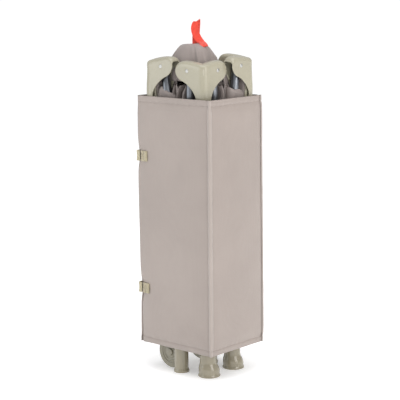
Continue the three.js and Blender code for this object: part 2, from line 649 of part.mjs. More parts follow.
for (const [name, middle] of [['upper', STRAP_UPPER_Z], ['lower', STRAP_LOWER_Z]]) {
  const base = middle - STRAP_HEIGHT / 2;
  const sewn = block([strapHingeX + STRAP_HINGE_GAP, strapFrontY, base],
    [strapHingeX + STRAP_HINGE_GAP + STRAP_SEWN, strapFrontY + STRAP_THICK, base + STRAP_HEIGHT]);
  addMesh(`strap_patch_${name}`, sewn, WEBBING);

  // the free part turns the corner and lies on the left panel
  const inner = 3;
  const outer = inner + STRAP_THICK;
  const hook = new THREE.Shape();
  hook.moveTo(strapHingeX - 0.5, strapFrontY);
  hook.lineTo(strapLeftX + outer, strapFrontY);
  hook.absarc(strapLeftX + outer, strapFrontY + outer, outer, -Math.PI / 2, Math.PI, true);
  hook.lineTo(strapLeftX, strapFrontY + STRAP_WRAP);
  hook.lineTo(strapLeftX + STRAP_THICK, strapFrontY + STRAP_WRAP);
  hook.lineTo(strapLeftX + STRAP_THICK, strapFrontY + outer);
  hook.absarc(strapLeftX + outer, strapFrontY + outer, inner, Math.PI, Math.PI * 1.5);
  hook.lineTo(strapHingeX - 0.5, strapFrontY + STRAP_THICK);
  const lay = { depth: STRAP_HEIGHT, bevelEnabled: false, curveSegments: 5 };
  const strap = new THREE.ExtrudeGeometry(hook, lay);
  addMesh(`closing_strap_${name}`, moved(strap, 0, 0, base), WEBBING);
}

// ---------------------------------------------------------------- cloth

// floor cloth standing up as a dome, open below, with a slit on top for the pull strap
const domeRise = DOME_TOP - DOME_BASE;
const domeLine = (scale, height) => [1, 1.02, 0.97, 0.84, 0.62, 0.36].map((r, i) => {
  const z = [0, 0.35, 0.58, 0.78, 0.92, 0.985][i] * height;
  return [r * scale, z];
});
const domeRadiusX = CORNER_X + HALF_SLEEVE - WING_WIDTH + DOME_CENTRE[0] - DOME_GAPS[0];
const domeRadiusY = CORNER_Y + HALF_SLEEVE - WING_WIDTH + DOME_CENTRE[1] - DOME_GAPS[1];
const domeSlit = ((PULL_WIDTH / 2 + DOME_SLIT_PLAY) * domeRadiusX) / domeRadiusY;
const outerDome = domeLine(domeRadiusX, domeRise);
const innerDome = domeLine(domeRadiusX - DOME_WALL, domeRise - DOME_WALL);
const domeProfile = [...outerDome, [domeSlit, domeRise], [domeSlit, domeRise - DOME_WALL],
  ...innerDome.slice().reverse(), outerDome[0]];
const dome = turned(domeProfile, 20).scale(1, domeRadiusY / domeRadiusX, 1);
addMesh('floor_cloth', moved(dome, DOME_CENTRE[0], DOME_CENTRE[1], DOME_BASE), LINING);

// side cloth gathered at the top of each side: a tongue between the rails and a wider part behind them
for (const side of SIDES) {
  const tops = side.ends.map(([c, wing]) => rivetPoint(corners[c], wing));
  const spread = tops[1].clone().sub(tops[0]);
  const apart = Math.hypot(spread.x, spread.y);
  const depthBelow = (tops[0].z + tops[1].z) / 2 - CLOTH_BASE;
  const closing = ((apart - LOCK_PIVOTS) / 2 / side.length) * depthBelow;
  const tongue = apart / 2 - RAIL_RADIUS - closing - CLOTH_GAP;
  const behind = RAIL_RADIUS + CLOTH_GAP + RAIL_LEAN_SLOPE * depthBelow;
  const wide = tongue + CLOTH_SHOULDER;
  const plan = new THREE.Shape();
  plan.moveTo(-tongue, -RAIL_RADIUS);
  plan.lineTo(tongue, -RAIL_RADIUS);
  plan.lineTo(tongue, behind);
  plan.lineTo(wide, behind);
  plan.lineTo(wide, behind + CLOTH_DEPTH);
  plan.lineTo(-wide, behind + CLOTH_DEPTH);
  plan.lineTo(-wide, behind);
  plan.lineTo(-tongue, behind);
  const cloth = new THREE.ExtrudeGeometry(plan, { depth: CLOTH_TOP - CLOTH_BASE, bevelEnabled: false });
  const mesh = addMesh(`side_cloth_${side.name}`, cloth, LINING);
  mesh.position.set((tops[0].x + tops[1].x) / 2, (tops[0].y + tops[1].y) / 2, CLOTH_BASE);
  mesh.rotation.z = Math.atan2(spread.y, spread.x);
}

// ---------------------------------------------------------------- pull strap

const hubTop = hubBase + HUB_HEIGHT;
const pullHingeZ = DOME_TOP + PULL_HINGE_ABOVE;
addMesh('pull_strap_tail', block(
  [hubCentre.x - PULL_THICK, hubCentre.y - PULL_WIDTH / 2, hubTop + CLEARANCE],
  [hubCentre.x + PULL_THICK, hubCentre.y + PULL_WIDTH / 2, pullHingeZ - CLEARANCE]), RED_WEBBING);

// a flat loop: up one side, over, and down the other, leaning to the left
const loopRise = PULL_TOP - pullHingeZ;
const loopShape = (offset) => {
  const points = [];
  const steps = 14;
  for (let i = 0; i <= steps; i += 1) {
    const t = (i / steps) * 2 - 1;
    const height = 1 - Math.abs(t) ** 2.4;
    const sway = -PULL_LEAN * height ** 1.3;
    const strand = Math.sign(t);
    const opening = PULL_OPEN * Math.min(1, Math.abs(t) * 2.2) * (0.35 + 0.65 * Math.sin(Math.PI * height));
    points.push(new THREE.Vector2(sway + strand * (opening + 1.2), height * (loopRise - offset)));
  }
  return points;
};
const centreLine = loopShape(PULL_THICK / 2);
const outside = [];
const inside = [];
centreLine.forEach((point, i) => {
  const before = centreLine[Math.max(i - 1, 0)];
  const after = centreLine[Math.min(i + 1, centreLine.length - 1)];
  const run = after.clone().sub(before).normalize();
  const normal = new THREE.Vector2(-run.y, run.x).multiplyScalar(PULL_THICK / 2);
  outside.push(point.clone().add(normal));
  inside.push(point.clone().sub(normal));
});
const loop = new THREE.ExtrudeGeometry(new THREE.Shape([...outside, ...inside.reverse()]),
  { depth: PULL_WIDTH, bevelEnabled: false });
loop.rotateX(Math.PI / 2);
addMesh('pull_strap_loop', moved(loop, hubCentre.x, hubCentre.y + PULL_WIDTH / 2, pullHingeZ + PULL_FOOT),
  RED_WEBBING);

// ---------------------------------------------------------------- origin in the middle, on the floor

const overhangX = halfW + (STRAP_STAND_OFF + STRAP_THICK);
const overhangY = halfD + (STRAP_STAND_OFF + STRAP_THICK);
model.position.set((overhangX - halfW) / 2, (overhangY - halfD) / 2, 0);

export default model;
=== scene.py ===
# %% [markdown]
# # A folded playpen, wrapped in its own floor mat
# This lesson dresses a packed engineering model of a travel-cot playpen. The model says where every
# part is and how it moves. Here each part gets the shape and the finish that the hand and eye know:
# padded nylon panels, moulded brackets, webbing, drawn steel tube and gathered lining cloth. The
# first cell loads the fixed frame. Nothing in it is moved or resized.

# %% Load the frame
import math

import bpy
import bmesh
import numpy as np
from mathutils import Matrix, Vector, noise


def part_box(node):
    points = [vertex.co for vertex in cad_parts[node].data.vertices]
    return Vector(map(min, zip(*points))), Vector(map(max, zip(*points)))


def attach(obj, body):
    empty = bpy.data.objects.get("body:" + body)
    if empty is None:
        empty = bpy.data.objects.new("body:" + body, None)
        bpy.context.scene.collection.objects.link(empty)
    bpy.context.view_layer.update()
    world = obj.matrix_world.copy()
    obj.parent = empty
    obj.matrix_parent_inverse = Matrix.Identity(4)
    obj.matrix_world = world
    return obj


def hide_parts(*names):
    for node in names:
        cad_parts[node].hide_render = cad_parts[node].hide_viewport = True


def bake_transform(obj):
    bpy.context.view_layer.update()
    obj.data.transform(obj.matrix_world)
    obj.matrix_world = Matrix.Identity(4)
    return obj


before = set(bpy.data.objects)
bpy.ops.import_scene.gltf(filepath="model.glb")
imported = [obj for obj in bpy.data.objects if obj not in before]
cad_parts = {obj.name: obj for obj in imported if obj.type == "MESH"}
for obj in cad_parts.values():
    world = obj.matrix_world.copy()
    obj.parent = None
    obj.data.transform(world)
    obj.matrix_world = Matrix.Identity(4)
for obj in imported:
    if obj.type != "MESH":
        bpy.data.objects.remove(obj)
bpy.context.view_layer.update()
MM = 0.001


# %% [markdown]
# ## The camera
# A long lens from a little above the front right corner keeps the upright edges nearly parallel.
# The camera is built from three directions: right, up and back. A slight roll is part of the view,
# so the up direction is given and not left to a track constraint.

# %% Camera
VIEW_AZIMUTH = math.radians(41.98)
VIEW_ELEVATION = math.radians(9.56)
VIEW_DISTANCE = 3.2906
VIEW_TARGET = Vector((1.25 * MM, 1.25 * MM, 430 * MM))
VIEW_ROLL = math.radians(-0.52)
LENS = 124.04
SENSOR_WIDTH = 36
LENS_SHIFT = (-0.0008, -0.0145)


def build_camera():
    back = Vector((math.sin(VIEW_AZIMUTH) * math.cos(VIEW_ELEVATION),
                   -math.cos(VIEW_AZIMUTH) * math.cos(VIEW_ELEVATION),
                   math.sin(VIEW_ELEVATION)))
    level = Vector((math.cos(VIEW_AZIMUTH), math.sin(VIEW_AZIMUTH), 0))
    right = Matrix.Rotation(VIEW_ROLL, 3, back) @ level
    up = back.cross(right)
    data = bpy.data.cameras.new("camera")
    data.lens = LENS
    data.sensor_width = SENSOR_WIDTH
    data.shift_x, data.shift_y = LENS_SHIFT
    camera = bpy.data.objects.new("camera", data)
    bpy.context.collection.objects.link(camera)
    turn = Matrix((right, up, back)).transposed().to_4x4()
    camera.matrix_world = Matrix.Translation(VIEW_TARGET + back * VIEW_DISTANCE) @ turn
    bpy.context.scene.camera = camera
    return camera


camera = build_camera()
print("camera at", [round(v, 3) for v in camera.location])


# %% [markdown]
# ## Floor and light
# A plain pale floor takes the soft contact shadow. Large area lamps act as soft boxes: a broad one
# over the front left, a strong one from the right and a low fill. The world is almost white, so
# that the background stays clean, and plain colour management keeps the strap a full red.

# %% Floor and lights
FLOOR_SIZE = 30.0
FLOOR_GLOW = {"From Min": 0.1, "From Max": 0.9, "To Min": 0.36, "To Max": 0.54}
LAMP_AIM = (0, 0, 0.5)


def build_floor():
    """A pale floor that glows a little more with distance, so that it shows no horizon."""
    bpy.ops.mesh.primitive_plane_add(size=FLOOR_SIZE, location=(0, 0, 0))
    floor = bpy.context.object
    floor.name = "studio_floor"
    paint = bpy.data.materials.new("floor_paint")
    paint.use_nodes = True
    tree = paint.node_tree
    shader = tree.nodes["Principled BSDF"].inputs
    shader["Base Color"].default_value = (0.93, 0.93, 0.935, 1)
    shader["Roughness"].default_value = 0.9
    shader["Specular IOR Level"].default_value = 0.1
    shader["Emission Color"].default_value = (1, 1, 1, 1)
    place = tree.nodes.new("ShaderNodeTexCoord")
    reach = tree.nodes.new("ShaderNodeVectorMath")
    reach.operation = "LENGTH"
    glow = tree.nodes.new("ShaderNodeMapRange")
    for label, value in FLOOR_GLOW.items():
        glow.inputs[label].default_value = value
    tree.links.new(place.outputs["Object"], reach.inputs[0])
    tree.links.new(reach.outputs["Value"], glow.inputs["Value"])
    tree.links.new(glow.outputs[0], shader["Emission Strength"])
    floor.data.materials.append(paint)


def soft_box(name, place, aim, width, height, power, tint=(1, 1, 1)):
    data = bpy.data.lights.new(name, "AREA")
    data.shape = "RECTANGLE"
    data.size, data.size_y = width, height
    data.energy = power
    data.color = tint
    lamp = bpy.data.objects.new(name, data)
    bpy.context.collection.objects.link(lamp)
    lamp.location = place
    lamp.rotation_mode = "QUATERNION"
    lamp.rotation_quaternion = (Vector(place) - Vector(aim)).to_track_quat("Z", "Y")
    return lamp


def build_world(seen, lighting):
    """A white room: seen is how bright it looks, lighting is how much it lights."""
    world = bpy.data.worlds.new("studio_world")
    world.use_nodes = True
    tree = world.node_tree
    background = tree.nodes["Background"].inputs
    rays = tree.nodes.new("ShaderNodeLightPath")
    strength = tree.nodes.new("ShaderNodeMapRange")
    strength.inputs["To Min"].default_value = lighting
    strength.inputs["To Max"].default_value = seen
    tree.links.new(rays.outputs["Is Camera Ray"], strength.inputs["Value"])
    tree.links.new(strength.outputs[0], background["Strength"])
    background["Color"].default_value = (1, 1, 1, 1)
    bpy.context.scene.world = world


build_floor()
lamps = [
    soft_box("overhead_box", (0.3, -0.5, 3.0), (0, 0, 0.3), 2.6, 2.6, 40),
    soft_box("right_box", (3.0, -0.3, 1.5), LAMP_AIM, 1.6, 2.4, 40, (1.0, 0.97, 0.95)),
    soft_box("left_box", (-1.9, -2.6, 1.4), LAMP_AIM, 1.4, 2.2, 20, (0.96, 0.98, 1.0)),
]
build_world(seen=1.05, lighting=0.55)
bpy.context.scene.view_settings.view_transform = "Standard"
print("lamps", [lamp.name for lamp in lamps])


# %% [markdown]
# ## Shared shader effects
# Several finishes need the same small effects, so each effect is a node group with named inputs: a
# woven thread pattern, a cloudy tone shift, a moulded grain, wear on raised edges and a lighter
# tint on faces that look up. A group gives back only colours and values, and the shader itself
# stays in the material.

# %% Node helpers
def feed(tree, socket, value):
    """Links a socket to another socket, or gives it a plain value."""
    if isinstance(value, bpy.types.NodeSocket):
        tree.links.new(value, socket)
    else:
        socket.default_value = value


def add_node(tree, kind, inputs, **settings):
    """A node with its settings, then its input values and incoming links."""
    node = tree.nodes.new(kind)
    for label, value in settings.items():
        setattr(node, label, value)
    for label, value in inputs.items():
        feed(tree, node.inputs[label], value)
    return node


def math_node(tree, operation, first, second, clamp=False):
    return add_node(tree, "ShaderNodeMath", {0: first, 1: second},
                    operation=operation, use_clamp=clamp).outputs[0]


def mix_colour(tree, factor, first, second):
    return add_node(tree, "ShaderNodeMix", {0: factor, 6: first, 7: second}, data_type="RGBA").outputs[2]


def map_range(tree, value, low, high, to_low=0.0, to_high=1.0):
    return add_node(tree, "ShaderNodeMapRange", {"Value": value, "From Min": low, "From Max": high,
                                                 "To Min": to_low, "To Max": to_high}).outputs[0]


def noise_texture(tree, inputs):
    return add_node(tree, "ShaderNodeTexNoise", inputs).outputs["Fac"]


def wave_texture(tree, direction, inputs):
    return add_node(tree, "ShaderNodeTexWave", inputs,
                    wave_type="BANDS", bands_direction=direction).outputs["Fac"]


def make_group(name, inputs, outputs, wire):
    """A node group. wire gets its tree and its inputs, and gives back one socket for each output."""
    tree = bpy.data.node_groups.new(name, "ShaderNodeTree")
    for label, kind, value in inputs:
        socket = tree.interface.new_socket(name=label, in_out="INPUT", socket_type=f"NodeSocket{kind}")
        socket.default_value = value
    for label, kind in outputs:
        tree.interface.new_socket(name=label, in_out="OUTPUT", socket_type=f"NodeSocket{kind}")
    given = tree.nodes.new("NodeGroupInput")
    out = tree.nodes.new("NodeGroupOutput")
    for (label, _), socket in zip(outputs, wire(tree, given.outputs)):
        tree.links.new(socket, out.inputs[label])
    return tree


PLACE_INPUT = ("Vector", "Vector", (0, 0, 0))
BASE_INPUT = ("Base", "Color", (0.5, 0.5, 0.5, 1))
TONE_OUTPUTS = [("Color", "Color"), ("Mask", "Float")]


# %% Weave: crossing thread waves
def wire_weave(tree, given):
    inputs = {"Vector": given["Vector"], "Scale": given["Threads"],
              "Distortion": 1.2, "Detail": 1.0, "Detail Scale": 0.6}
    waves = [wave_texture(tree, way, inputs) for way in "XYZ"]
    flat = math_node(tree, "MAXIMUM", waves[0], waves[1])
    woven = math_node(tree, "MULTIPLY", math_node(tree, "ADD", flat, waves[2]), 0.5)
    return math_node(tree, "MULTIPLY", woven, given["Depth"]), woven


WEAVE = make_group("thread_weave", [PLACE_INPUT, ("Threads", "Float", 900.0), ("Depth", "Float", 1.0)],
                   [("Height", "Float"), ("Tone", "Float")], wire_weave)


# %% Clouds: a slow shift of tone, as on any large piece of cloth or plastic
def wire_clouds(tree, given):
    cloud = noise_texture(tree, {"Vector": given["Vector"], "Scale": given["Size"],
                                 "Detail": 4.0, "Roughness": 0.55})
    mask = math_node(tree, "MULTIPLY", map_range(tree, cloud, 0.35, 0.68), given["Amount"], clamp=True)
    return mix_colour(tree, mask, given["Base"], given["Shade"]), mask


CLOUDS = make_group("tone_clouds", [PLACE_INPUT, BASE_INPUT, ("Shade", "Color", (0.4, 0.4, 0.4, 1)),
                                    ("Size", "Float", 6.0), ("Amount", "Float", 0.5)],
                    TONE_OUTPUTS, wire_clouds)


# %% Grain: the fine orange-peel of a moulded surface
def wire_grain(tree, given):
    inputs = {"Vector": given["Vector"], "Scale": given["Size"]}
    fine = noise_texture(tree, {**inputs, "Detail": 3.0})
    cells = add_node(tree, "ShaderNodeTexVoronoi", inputs).outputs["Distance"]
    return math_node(tree, "MULTIPLY", math_node(tree, "ADD", fine, cells), given["Depth"]), fine


GRAIN = make_group("moulded_grain", [PLACE_INPUT, ("Size", "Float", 700.0), ("Depth", "Float", 0.5)],
                   [("Height", "Float"), ("Speck", "Float")], wire_grain)


# %% Wear and top tint: lighter raised edges, and a lighter tint on faces that look up
def patchy_mix(tree, given, strength, other, patches):
    """Mixes in the other colour where strength is high, broken up by noise."""
    uneven = math_node(tree, "MULTIPLY", strength, noise_texture(tree, patches))
    mask = math_node(tree, "MULTIPLY", uneven, given["Amount"], clamp=True)
    return mix_colour(tree, mask, given["Base"], given[other]), mask


def wire_wear(tree, given):
    shape = add_node(tree, "ShaderNodeNewGeometry", {})
    raised = map_range(tree, shape.outputs["Pointiness"], 0.52, 0.62)
    return patchy_mix(tree, given, raised, "Worn", {"Scale": 90.0, "Detail": 3.0})


# Faces that look up take a lighter colour, in patches broken up by noise.
def wire_top_tint(tree, given):
    shape = add_node(tree, "ShaderNodeNewGeometry", {})
    parts = add_node(tree, "ShaderNodeSeparateXYZ", {0: shape.outputs["Normal"]})
    upward = map_range(tree, parts.outputs["Z"], 0.2, 1.0)
    return patchy_mix(tree, given, upward, "Top Colour", {"Scale": 30.0, "Detail": 5.0})


WEAR = make_group("edge_wear", [BASE_INPUT, ("Worn", "Color", (0.7, 0.7, 0.7, 1)),
                                ("Amount", "Float", 0.4)], TONE_OUTPUTS, wire_wear)
TOP_TINT = make_group("upward_face_tint", [BASE_INPUT, ("Top Colour", "Color", (0.62, 0.6, 0.56, 1)),
                                   ("Amount", "Float", 0.15)], TONE_OUTPUTS, wire_top_tint)
print("groups", [group.name for group in (WEAVE, CLOUDS, GRAIN, WEAR, TOP_TINT)])


# %% [markdown]
# ## Finishes
# Each finish is one function and one material. Cloth gets weave, sheen and cloudy tone. Moulded
# plastic gets grain, worn edges and a lighter top tint. Steel gets fine drawing lines along the tube.

# %% Material helpers
def start_material(name, roughness, **constants):
    """A new material: gives back it, its tree, its shader's inputs and the object coordinates."""
    material = bpy.data.materials.new(name)
    material.use_nodes = True
    tree = material.node_tree
    shader = tree.nodes["Principled BSDF"].inputs
    shader["Roughness"].default_value = roughness
    for label, value in constants.items():
        shader[label.replace("_", " ")].default_value = value
    return material, tree, shader, tree.nodes.new("ShaderNodeTexCoord").outputs["Object"]


def use_group(tree, group, inputs):
    return add_node(tree, "ShaderNodeGroup", inputs, node_tree=group).outputs


def tone(colour, factor):
    return tuple(c * factor for c in colour[:3]) + (1,)


def cloudy(tree, place, colour, shade, size, amount):
    return use_group(tree, CLOUDS, {"Vector": place, "Base": tone(colour, 1.0),
                                    "Shade": tone(colour, shade), "Size": size, "Amount": amount})


def vary_roughness(tree, shader, mask, roughness, less, more):
    feed(tree, shader["Roughness"], map_range(tree, mask, 0.0, 1.0, roughness - less, roughness + more))


def bump(tree, shader, height, strength, distance):
    node = add_node(tree, "ShaderNodeBump", {"Height": height, "Strength": strength, "Distance": distance})
    tree.links.new(node.outputs["Normal"], shader["Normal"])


# %% Cloth
def cloth_material(name, colour, threads, roughness, sheen, shade=0.86, creases=0.0):
    material, tree, shader, place = start_material(name, roughness, Sheen_Weight=sheen, Sheen_Roughness=0.4)
    cloud = cloudy(tree, place, colour, shade, size=5.0, amount=0.8)
    weave = use_group(tree, WEAVE, {"Vector": place, "Threads": threads, "Depth": 0.5})
    between = math_node(tree, "MULTIPLY", weave["Tone"], 0.10)
    dark = mix_colour(tree, between, cloud["Color"], tone(colour, 0.6))
    # Faces that look up are tinted a little lighter.
    top_tint = use_group(tree, TOP_TINT, {"Base": dark, "Top Colour": tone(colour, 1.15), "Amount": 0.15})
    feed(tree, shader["Base Color"], top_tint["Color"])
    vary_roughness(tree, shader, cloud["Mask"], roughness, 0.03, 0.05)
    crease = noise_texture(tree, {"Vector": place, "Scale": 26.0, "Detail": 3.0, "Distortion": 0.4})
    height = math_node(tree, "ADD", weave["Height"], math_node(tree, "MULTIPLY", crease, creases))
    bump(tree, shader, height, 0.35, 0.35 * MM)
    return material


# %% Webbing: strong ribs across a narrow band
def webbing_material(name, colour, rib_direction, roughness=0.8):
    material, tree, shader, place = start_material(name, roughness, Sheen_Weight=0.25, Sheen_Roughness=0.5)
    ribs = wave_texture(tree, rib_direction, {"Vector": place, "Scale": 330.0, "Distortion": 0.6})
    weave = use_group(tree, WEAVE, {"Vector": place, "Threads": 700.0, "Depth": 0.5})
    cloud = cloudy(tree, place, colour, 0.82, size=60.0, amount=0.7)
    grooves = math_node(tree, "MULTIPLY", math_node(tree, "SUBTRACT", 1.0, ribs), 0.3)
    feed(tree, shader["Base Color"], mix_colour(tree, grooves, cloud["Color"], tone(colour, 0.55)))
    bump(tree, shader, math_node(tree, "ADD", ribs, weave["Height"]), 0.6, 0.4 * MM)
    return material


# %% Moulded plastic
def plastic_material(name, colour, roughness, coat=0.0, grain=0.4, wear=0.35, top_tint=0.12):
    material, tree, shader, place = start_material(
        name, roughness, Coat_Weight=coat, Coat_Roughness=0.12, Specular_IOR_Level=0.5)
    cloud = cloudy(tree, place, colour, 0.9, size=14.0, amount=0.7)
    grainy = use_group(tree, GRAIN, {"Vector": place, "Size": 900.0, "Depth": grain})
    worn = use_group(tree, WEAR, {"Base": cloud["Color"], "Worn": tone(colour, 1.3), "Amount": wear})
    # Faces that look up are tinted a little lighter.
    top_tinted = use_group(tree, TOP_TINT, {"Base": worn["Color"], "Amount": top_tint})
    feed(tree, shader["Base Color"], top_tinted["Color"])
    vary_roughness(tree, shader, grainy["Speck"], roughness, 0.05, 0.07)
    bump(tree, shader, grainy["Height"], 0.12, 0.12 * MM)
    return material


# %% Steel: bright drawn tube, with drawing lines along it
def steel_material(name, colour, roughness, lines=0.5):
    material, tree, shader, place = start_material(name, roughness, Metallic=1.0)
    stretched = add_node(tree, "ShaderNodeMapping", {"Vector": place, "Scale": (900.0, 900.0, 12.0)})
    drawn = noise_texture(tree, {"Vector": stretched.outputs[0], "Scale": 1.0, "Detail": 3.0})
    cloud = cloudy(tree, place, colour, 0.75, size=25.0, amount=0.6)
    base = mix_colour(tree, math_node(tree, "MULTIPLY", drawn, 0.25), cloud["Color"], tone(colour, 0.6))
    feed(tree, shader["Base Color"], base)
    vary_roughness(tree, shader, drawn, roughness, 0.06, 0.1)
    bump(tree, shader, drawn, 0.15 * lines, 0.1 * MM)
    return material


# %% The finishes
MAT_NYLON = cloth_material("mat_nylon", (0.365, 0.31, 0.28), 800.0, 0.4, 0.35, creases=0.6)
# The fold strips get the mat's nylon in a lighter colour: a painted highlight where the satin catches the
# light as it turns the corner.
FOLD_NYLON_PAINTED_HIGHLIGHT = cloth_material("fold_nylon_painted_highlight", (0.41, 0.355, 0.322), 800.0, 0.4, 0.4, creases=0.3)
LINING = cloth_material("lining_nylon", (0.315, 0.268, 0.25), 1000.0, 0.58, 0.3, shade=0.8, creases=1.4)
WEBBING = webbing_material("strap_webbing", (0.53, 0.47, 0.315), "Z")
THREAD = webbing_material("seam_thread", (0.45, 0.39, 0.35), "X", 0.7)
RED_WEBBING = webbing_material("pull_webbing", (0.88, 0.06, 0.028), "Y", 0.62)
BRACKET_PLASTIC = plastic_material("bracket_plastic", (0.375, 0.35, 0.262), 0.27, coat=0.45, wear=0.3)
FOOT_PLASTIC = plastic_material("foot_plastic", (0.31, 0.277, 0.198), 0.16, coat=0.6, grain=0.2, wear=0.2)
WHEEL_PLASTIC = plastic_material("wheel_plastic", (0.25, 0.232, 0.17), 0.25, coat=0.3, wear=0.25)
LOCK_PLASTIC = plastic_material("lock_plastic", (0.12, 0.11, 0.095), 0.42)
BUTTON_PLASTIC = plastic_material("button_plastic", (0.52, 0.06, 0.035), 0.36)
TUBE_STEEL = steel_material("tube_steel", (0.24, 0.255, 0.28), 0.34)
RIVET_STEEL = steel_material("rivet_steel", (0.6, 0.6, 0.58), 0.3, lines=0.1)
print("materials", len(bpy.data.materials))


# %% [markdown]
# ## Building meshes
# Every piece is made from rings or grids of points worked out by a formula, because formulas keep
# pieces true to the frame's sizes. One helper turns points and faces into a smooth object, one
# joins rings into a skin, and one records what the piece rides on and hides the model nodes that
# it stands for.

# %% Mesh helpers
# Each side has the way it faces, and each corner the quarter turns from the front left one.
SIDES = {"front": (0, -1), "right": (1, 0), "back": (0, 1), "left": (-1, 0)}
CORNERS = {"front_left": 0, "front_right": 1, "back_right": 2, "back_left": 3}


def mesh_object(name, points, faces, material):
    mesh = bpy.data.meshes.new(name)
    mesh.from_pydata([tuple(p) for p in points], [], faces)
    shell = bmesh.new()
    shell.from_mesh(mesh)
    bmesh.ops.recalc_face_normals(shell, faces=shell.faces)
    shell.to_mesh(mesh)
    shell.free()
    for face in mesh.polygons:
        face.use_smooth = True
    mesh.materials.append(material)
    obj = bpy.data.objects.new(name, mesh)
    bpy.context.collection.objects.link(obj)
    return obj


def skin_faces(rows, columns, closed=True, start=0):
    """Quads between rows of points: closed joins the last column to the first."""
    faces = []
    for r in range(rows - 1):
        for c in range(columns if closed else columns - 1):
            a = start + r * columns + c
            b = start + r * columns + (c + 1) % columns
            faces.append((a, b, b + columns, a + columns))
    return faces


def loft(name, rings, material, caps=True, closed_loop=False):
    """A skin over equal rings. caps closes both ends; closed_loop joins the last ring to the first."""
    columns = len(rings[0])
    points = [p for ring in rings for p in ring]
    faces = skin_faces(len(rings), columns)
    last = (len(rings) - 1) * columns
    if closed_loop:
        faces += [(last + c, last + (c + 1) % columns, (c + 1) % columns, c) for c in range(columns)]
    elif caps:
        faces.append(tuple(reversed(range(columns))))
        faces.append(tuple(range(last, last + columns)))
    return mesh_object(name, points, faces, material)


def circle(radius, z, sides, x=0.0, y=0.0):
    turns = (2 * math.pi * k / sides for k in range(sides))
    return [(x + radius * math.cos(a), y + radius * math.sin(a), z) for a in turns]


def turned(name, profile, sides, place, material, closed_loop=False):
    """A turned piece: profile is [radius, height] pairs, and place is the matrix that sets it down."""
    rings = [[place @ Vector(p) for p in circle(r, z, sides)] for r, z in profile]
    return loft(name, rings, material, closed_loop=closed_loop)


def lean_to(way):
    """The turn that brings the Z axis to the given way."""
    return Vector((0, 0, 1)).rotation_difference(way).to_matrix().to_4x4()


def middle_of(node):
    """The middle of a node's box."""
    return Vector([(low + high) / 2 for low, high in zip(*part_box(node))])


def smooth_step(value, low, high):
    """0 below low, 1 above high, with a soft rise between them."""
    t = min(max((value - low) / (high - low), 0.0), 1.0)
    return t * t * (3 - 2 * t)


def along(pairs, x):
    """Reads a line that is given as [place, value] pairs."""
    return float(np.interp(x, [p[0] for p in pairs], [p[1] for p in pairs]))


def soft_noise(x, y, seed, size):
    """Smooth noise between -1 and 1, always the same for one seed."""
    return noise.noise(Vector((x / size, y / size, seed * 7.31)))


def dress(obj, body, slot, *nodes):
    """Tells the frame what the piece rides on and hides the model nodes that it stands for. slot is not
    used.
    """
    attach(obj, body)
    if nodes:
        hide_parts(*nodes)
    return obj


def thicken(obj, thickness, offset=0.0, levels=0):
    """Gives a skin its wall, and rounds it by subdivision where levels is given."""
    solid = obj.modifiers.new("thickness", "SOLIDIFY")
    solid.thickness = thickness
    solid.offset = offset
    solid.use_even_offset = False
    if levels:
        rounded = obj.modifiers.new("rounded", "SUBSURF")
        rounded.levels = levels
        rounded.render_levels = levels
    return obj


def settle(obj):
    """Applies the piece's modifiers to its mesh."""
    graph = bpy.context.evaluated_depsgraph_get()
    mesh = bpy.data.meshes.new_from_object(obj.evaluated_get(graph))
    obj.modifiers.clear()
    obj.data = mesh
    return obj


print("sides", list(SIDES), "corners", list(CORNERS))


# %% [markdown]
# ## The padded floor mat
# The mat is one sewn cover over four foam boards, and it folds between the boards. Each board is
# drawn as a closed pad: its outer face is slightly crowned, it thins to a flat sewn hem at the top
# and the bottom, and its upright edges are round. Small puckers stand along the seams where the
# thread draws the nylon in. A grid follows these formulas closely and needs no simulation, and the
# seam stays as crisp as it is on the real mat.

# %% The hem and seam across the top and the bottom of a panel
HEM = 14 * MM
HEM_OUTER = [(0.0, -4.2), (0.5, -2.9), (1.6, -2.2), (3.6, -2.1), (4.2, -2.5), (4.8, -2.1),
             (9.0, -1.7), (12.6, -2.2), (13.6, -3.4), (14.6, -2.9), (17.0, -1.7), (22.0, -0.7),
             (32.0, -0.1), (45.0, 0.0)]
HEM_INNER = [(0.0, -4.2), (0.5, -5.5), (1.6, -6.2), (12.0, -6.4), (13.6, -5.6), (15.0, -6.4),
             (19.0, -9.0), (26.0, -10.4), (36.0, -11.0)]
EDGE_ROUND = 5.5 * MM
EDGE_STEPS = 5
PANEL_STEP = 2.8 * MM


def spaced(low, high, fine, coarse, margin):
    """Places from low to high, close together near both ends and wider apart in the middle."""
    ends = list(np.arange(0, margin, fine))
    middle = np.linspace(low + margin, high - margin, max(int((high - low - 2 * margin) / coarse), 2))
    return [low + e for e in ends] + list(middle) + [high - e for e in reversed(ends)]


strap_heights = [sum(corner[2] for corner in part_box(f"strap_patch_{name}")) / 2
                 for name in ("upper", "lower")]
LOOSE_LEFT = 10 * MM
LOOSE_BACK_TOP = 5 * MM
LOOSE_BACK_LOW = 9.5 * MM


def strap_pull(z):
    """1 at the height of a strap, falling to 0 away from it."""
    return sum(math.exp(-((z - h) / (24 * MM)) ** 2) for h in strap_heights)


def stand_proud(spot):
    """The cover is looser than its boards: it stands away at its free left edge and at the back."""
    back = LOOSE_BACK_LOW + (LOOSE_BACK_TOP - LOOSE_BACK_LOW) * smooth_step(spot[2], 120 * MM, 640 * MM)
    left = LOOSE_LEFT * (1 - 0.6 * strap_pull(spot[2]))
    return Vector((spot[0] - left * smooth_step(-spot[0], 45 * MM, 100 * MM),
                   spot[1] + back * smooth_step(spot[1], 30 * MM, 86 * MM), spot[2]))


def edge_arc(upper, lower, edge, start):
    """The points of a round upright edge between an outer and an inner point, each [along, outward]."""
    turns = (start - math.pi * k / EDGE_STEPS for k in range(1, EDGE_STEPS))
    return [(upper[0] + edge * math.cos(a) * 0.95,
             (upper[1] + lower[1]) / 2 + (upper[1] - lower[1]) / 2 * math.sin(a)) for a in turns]


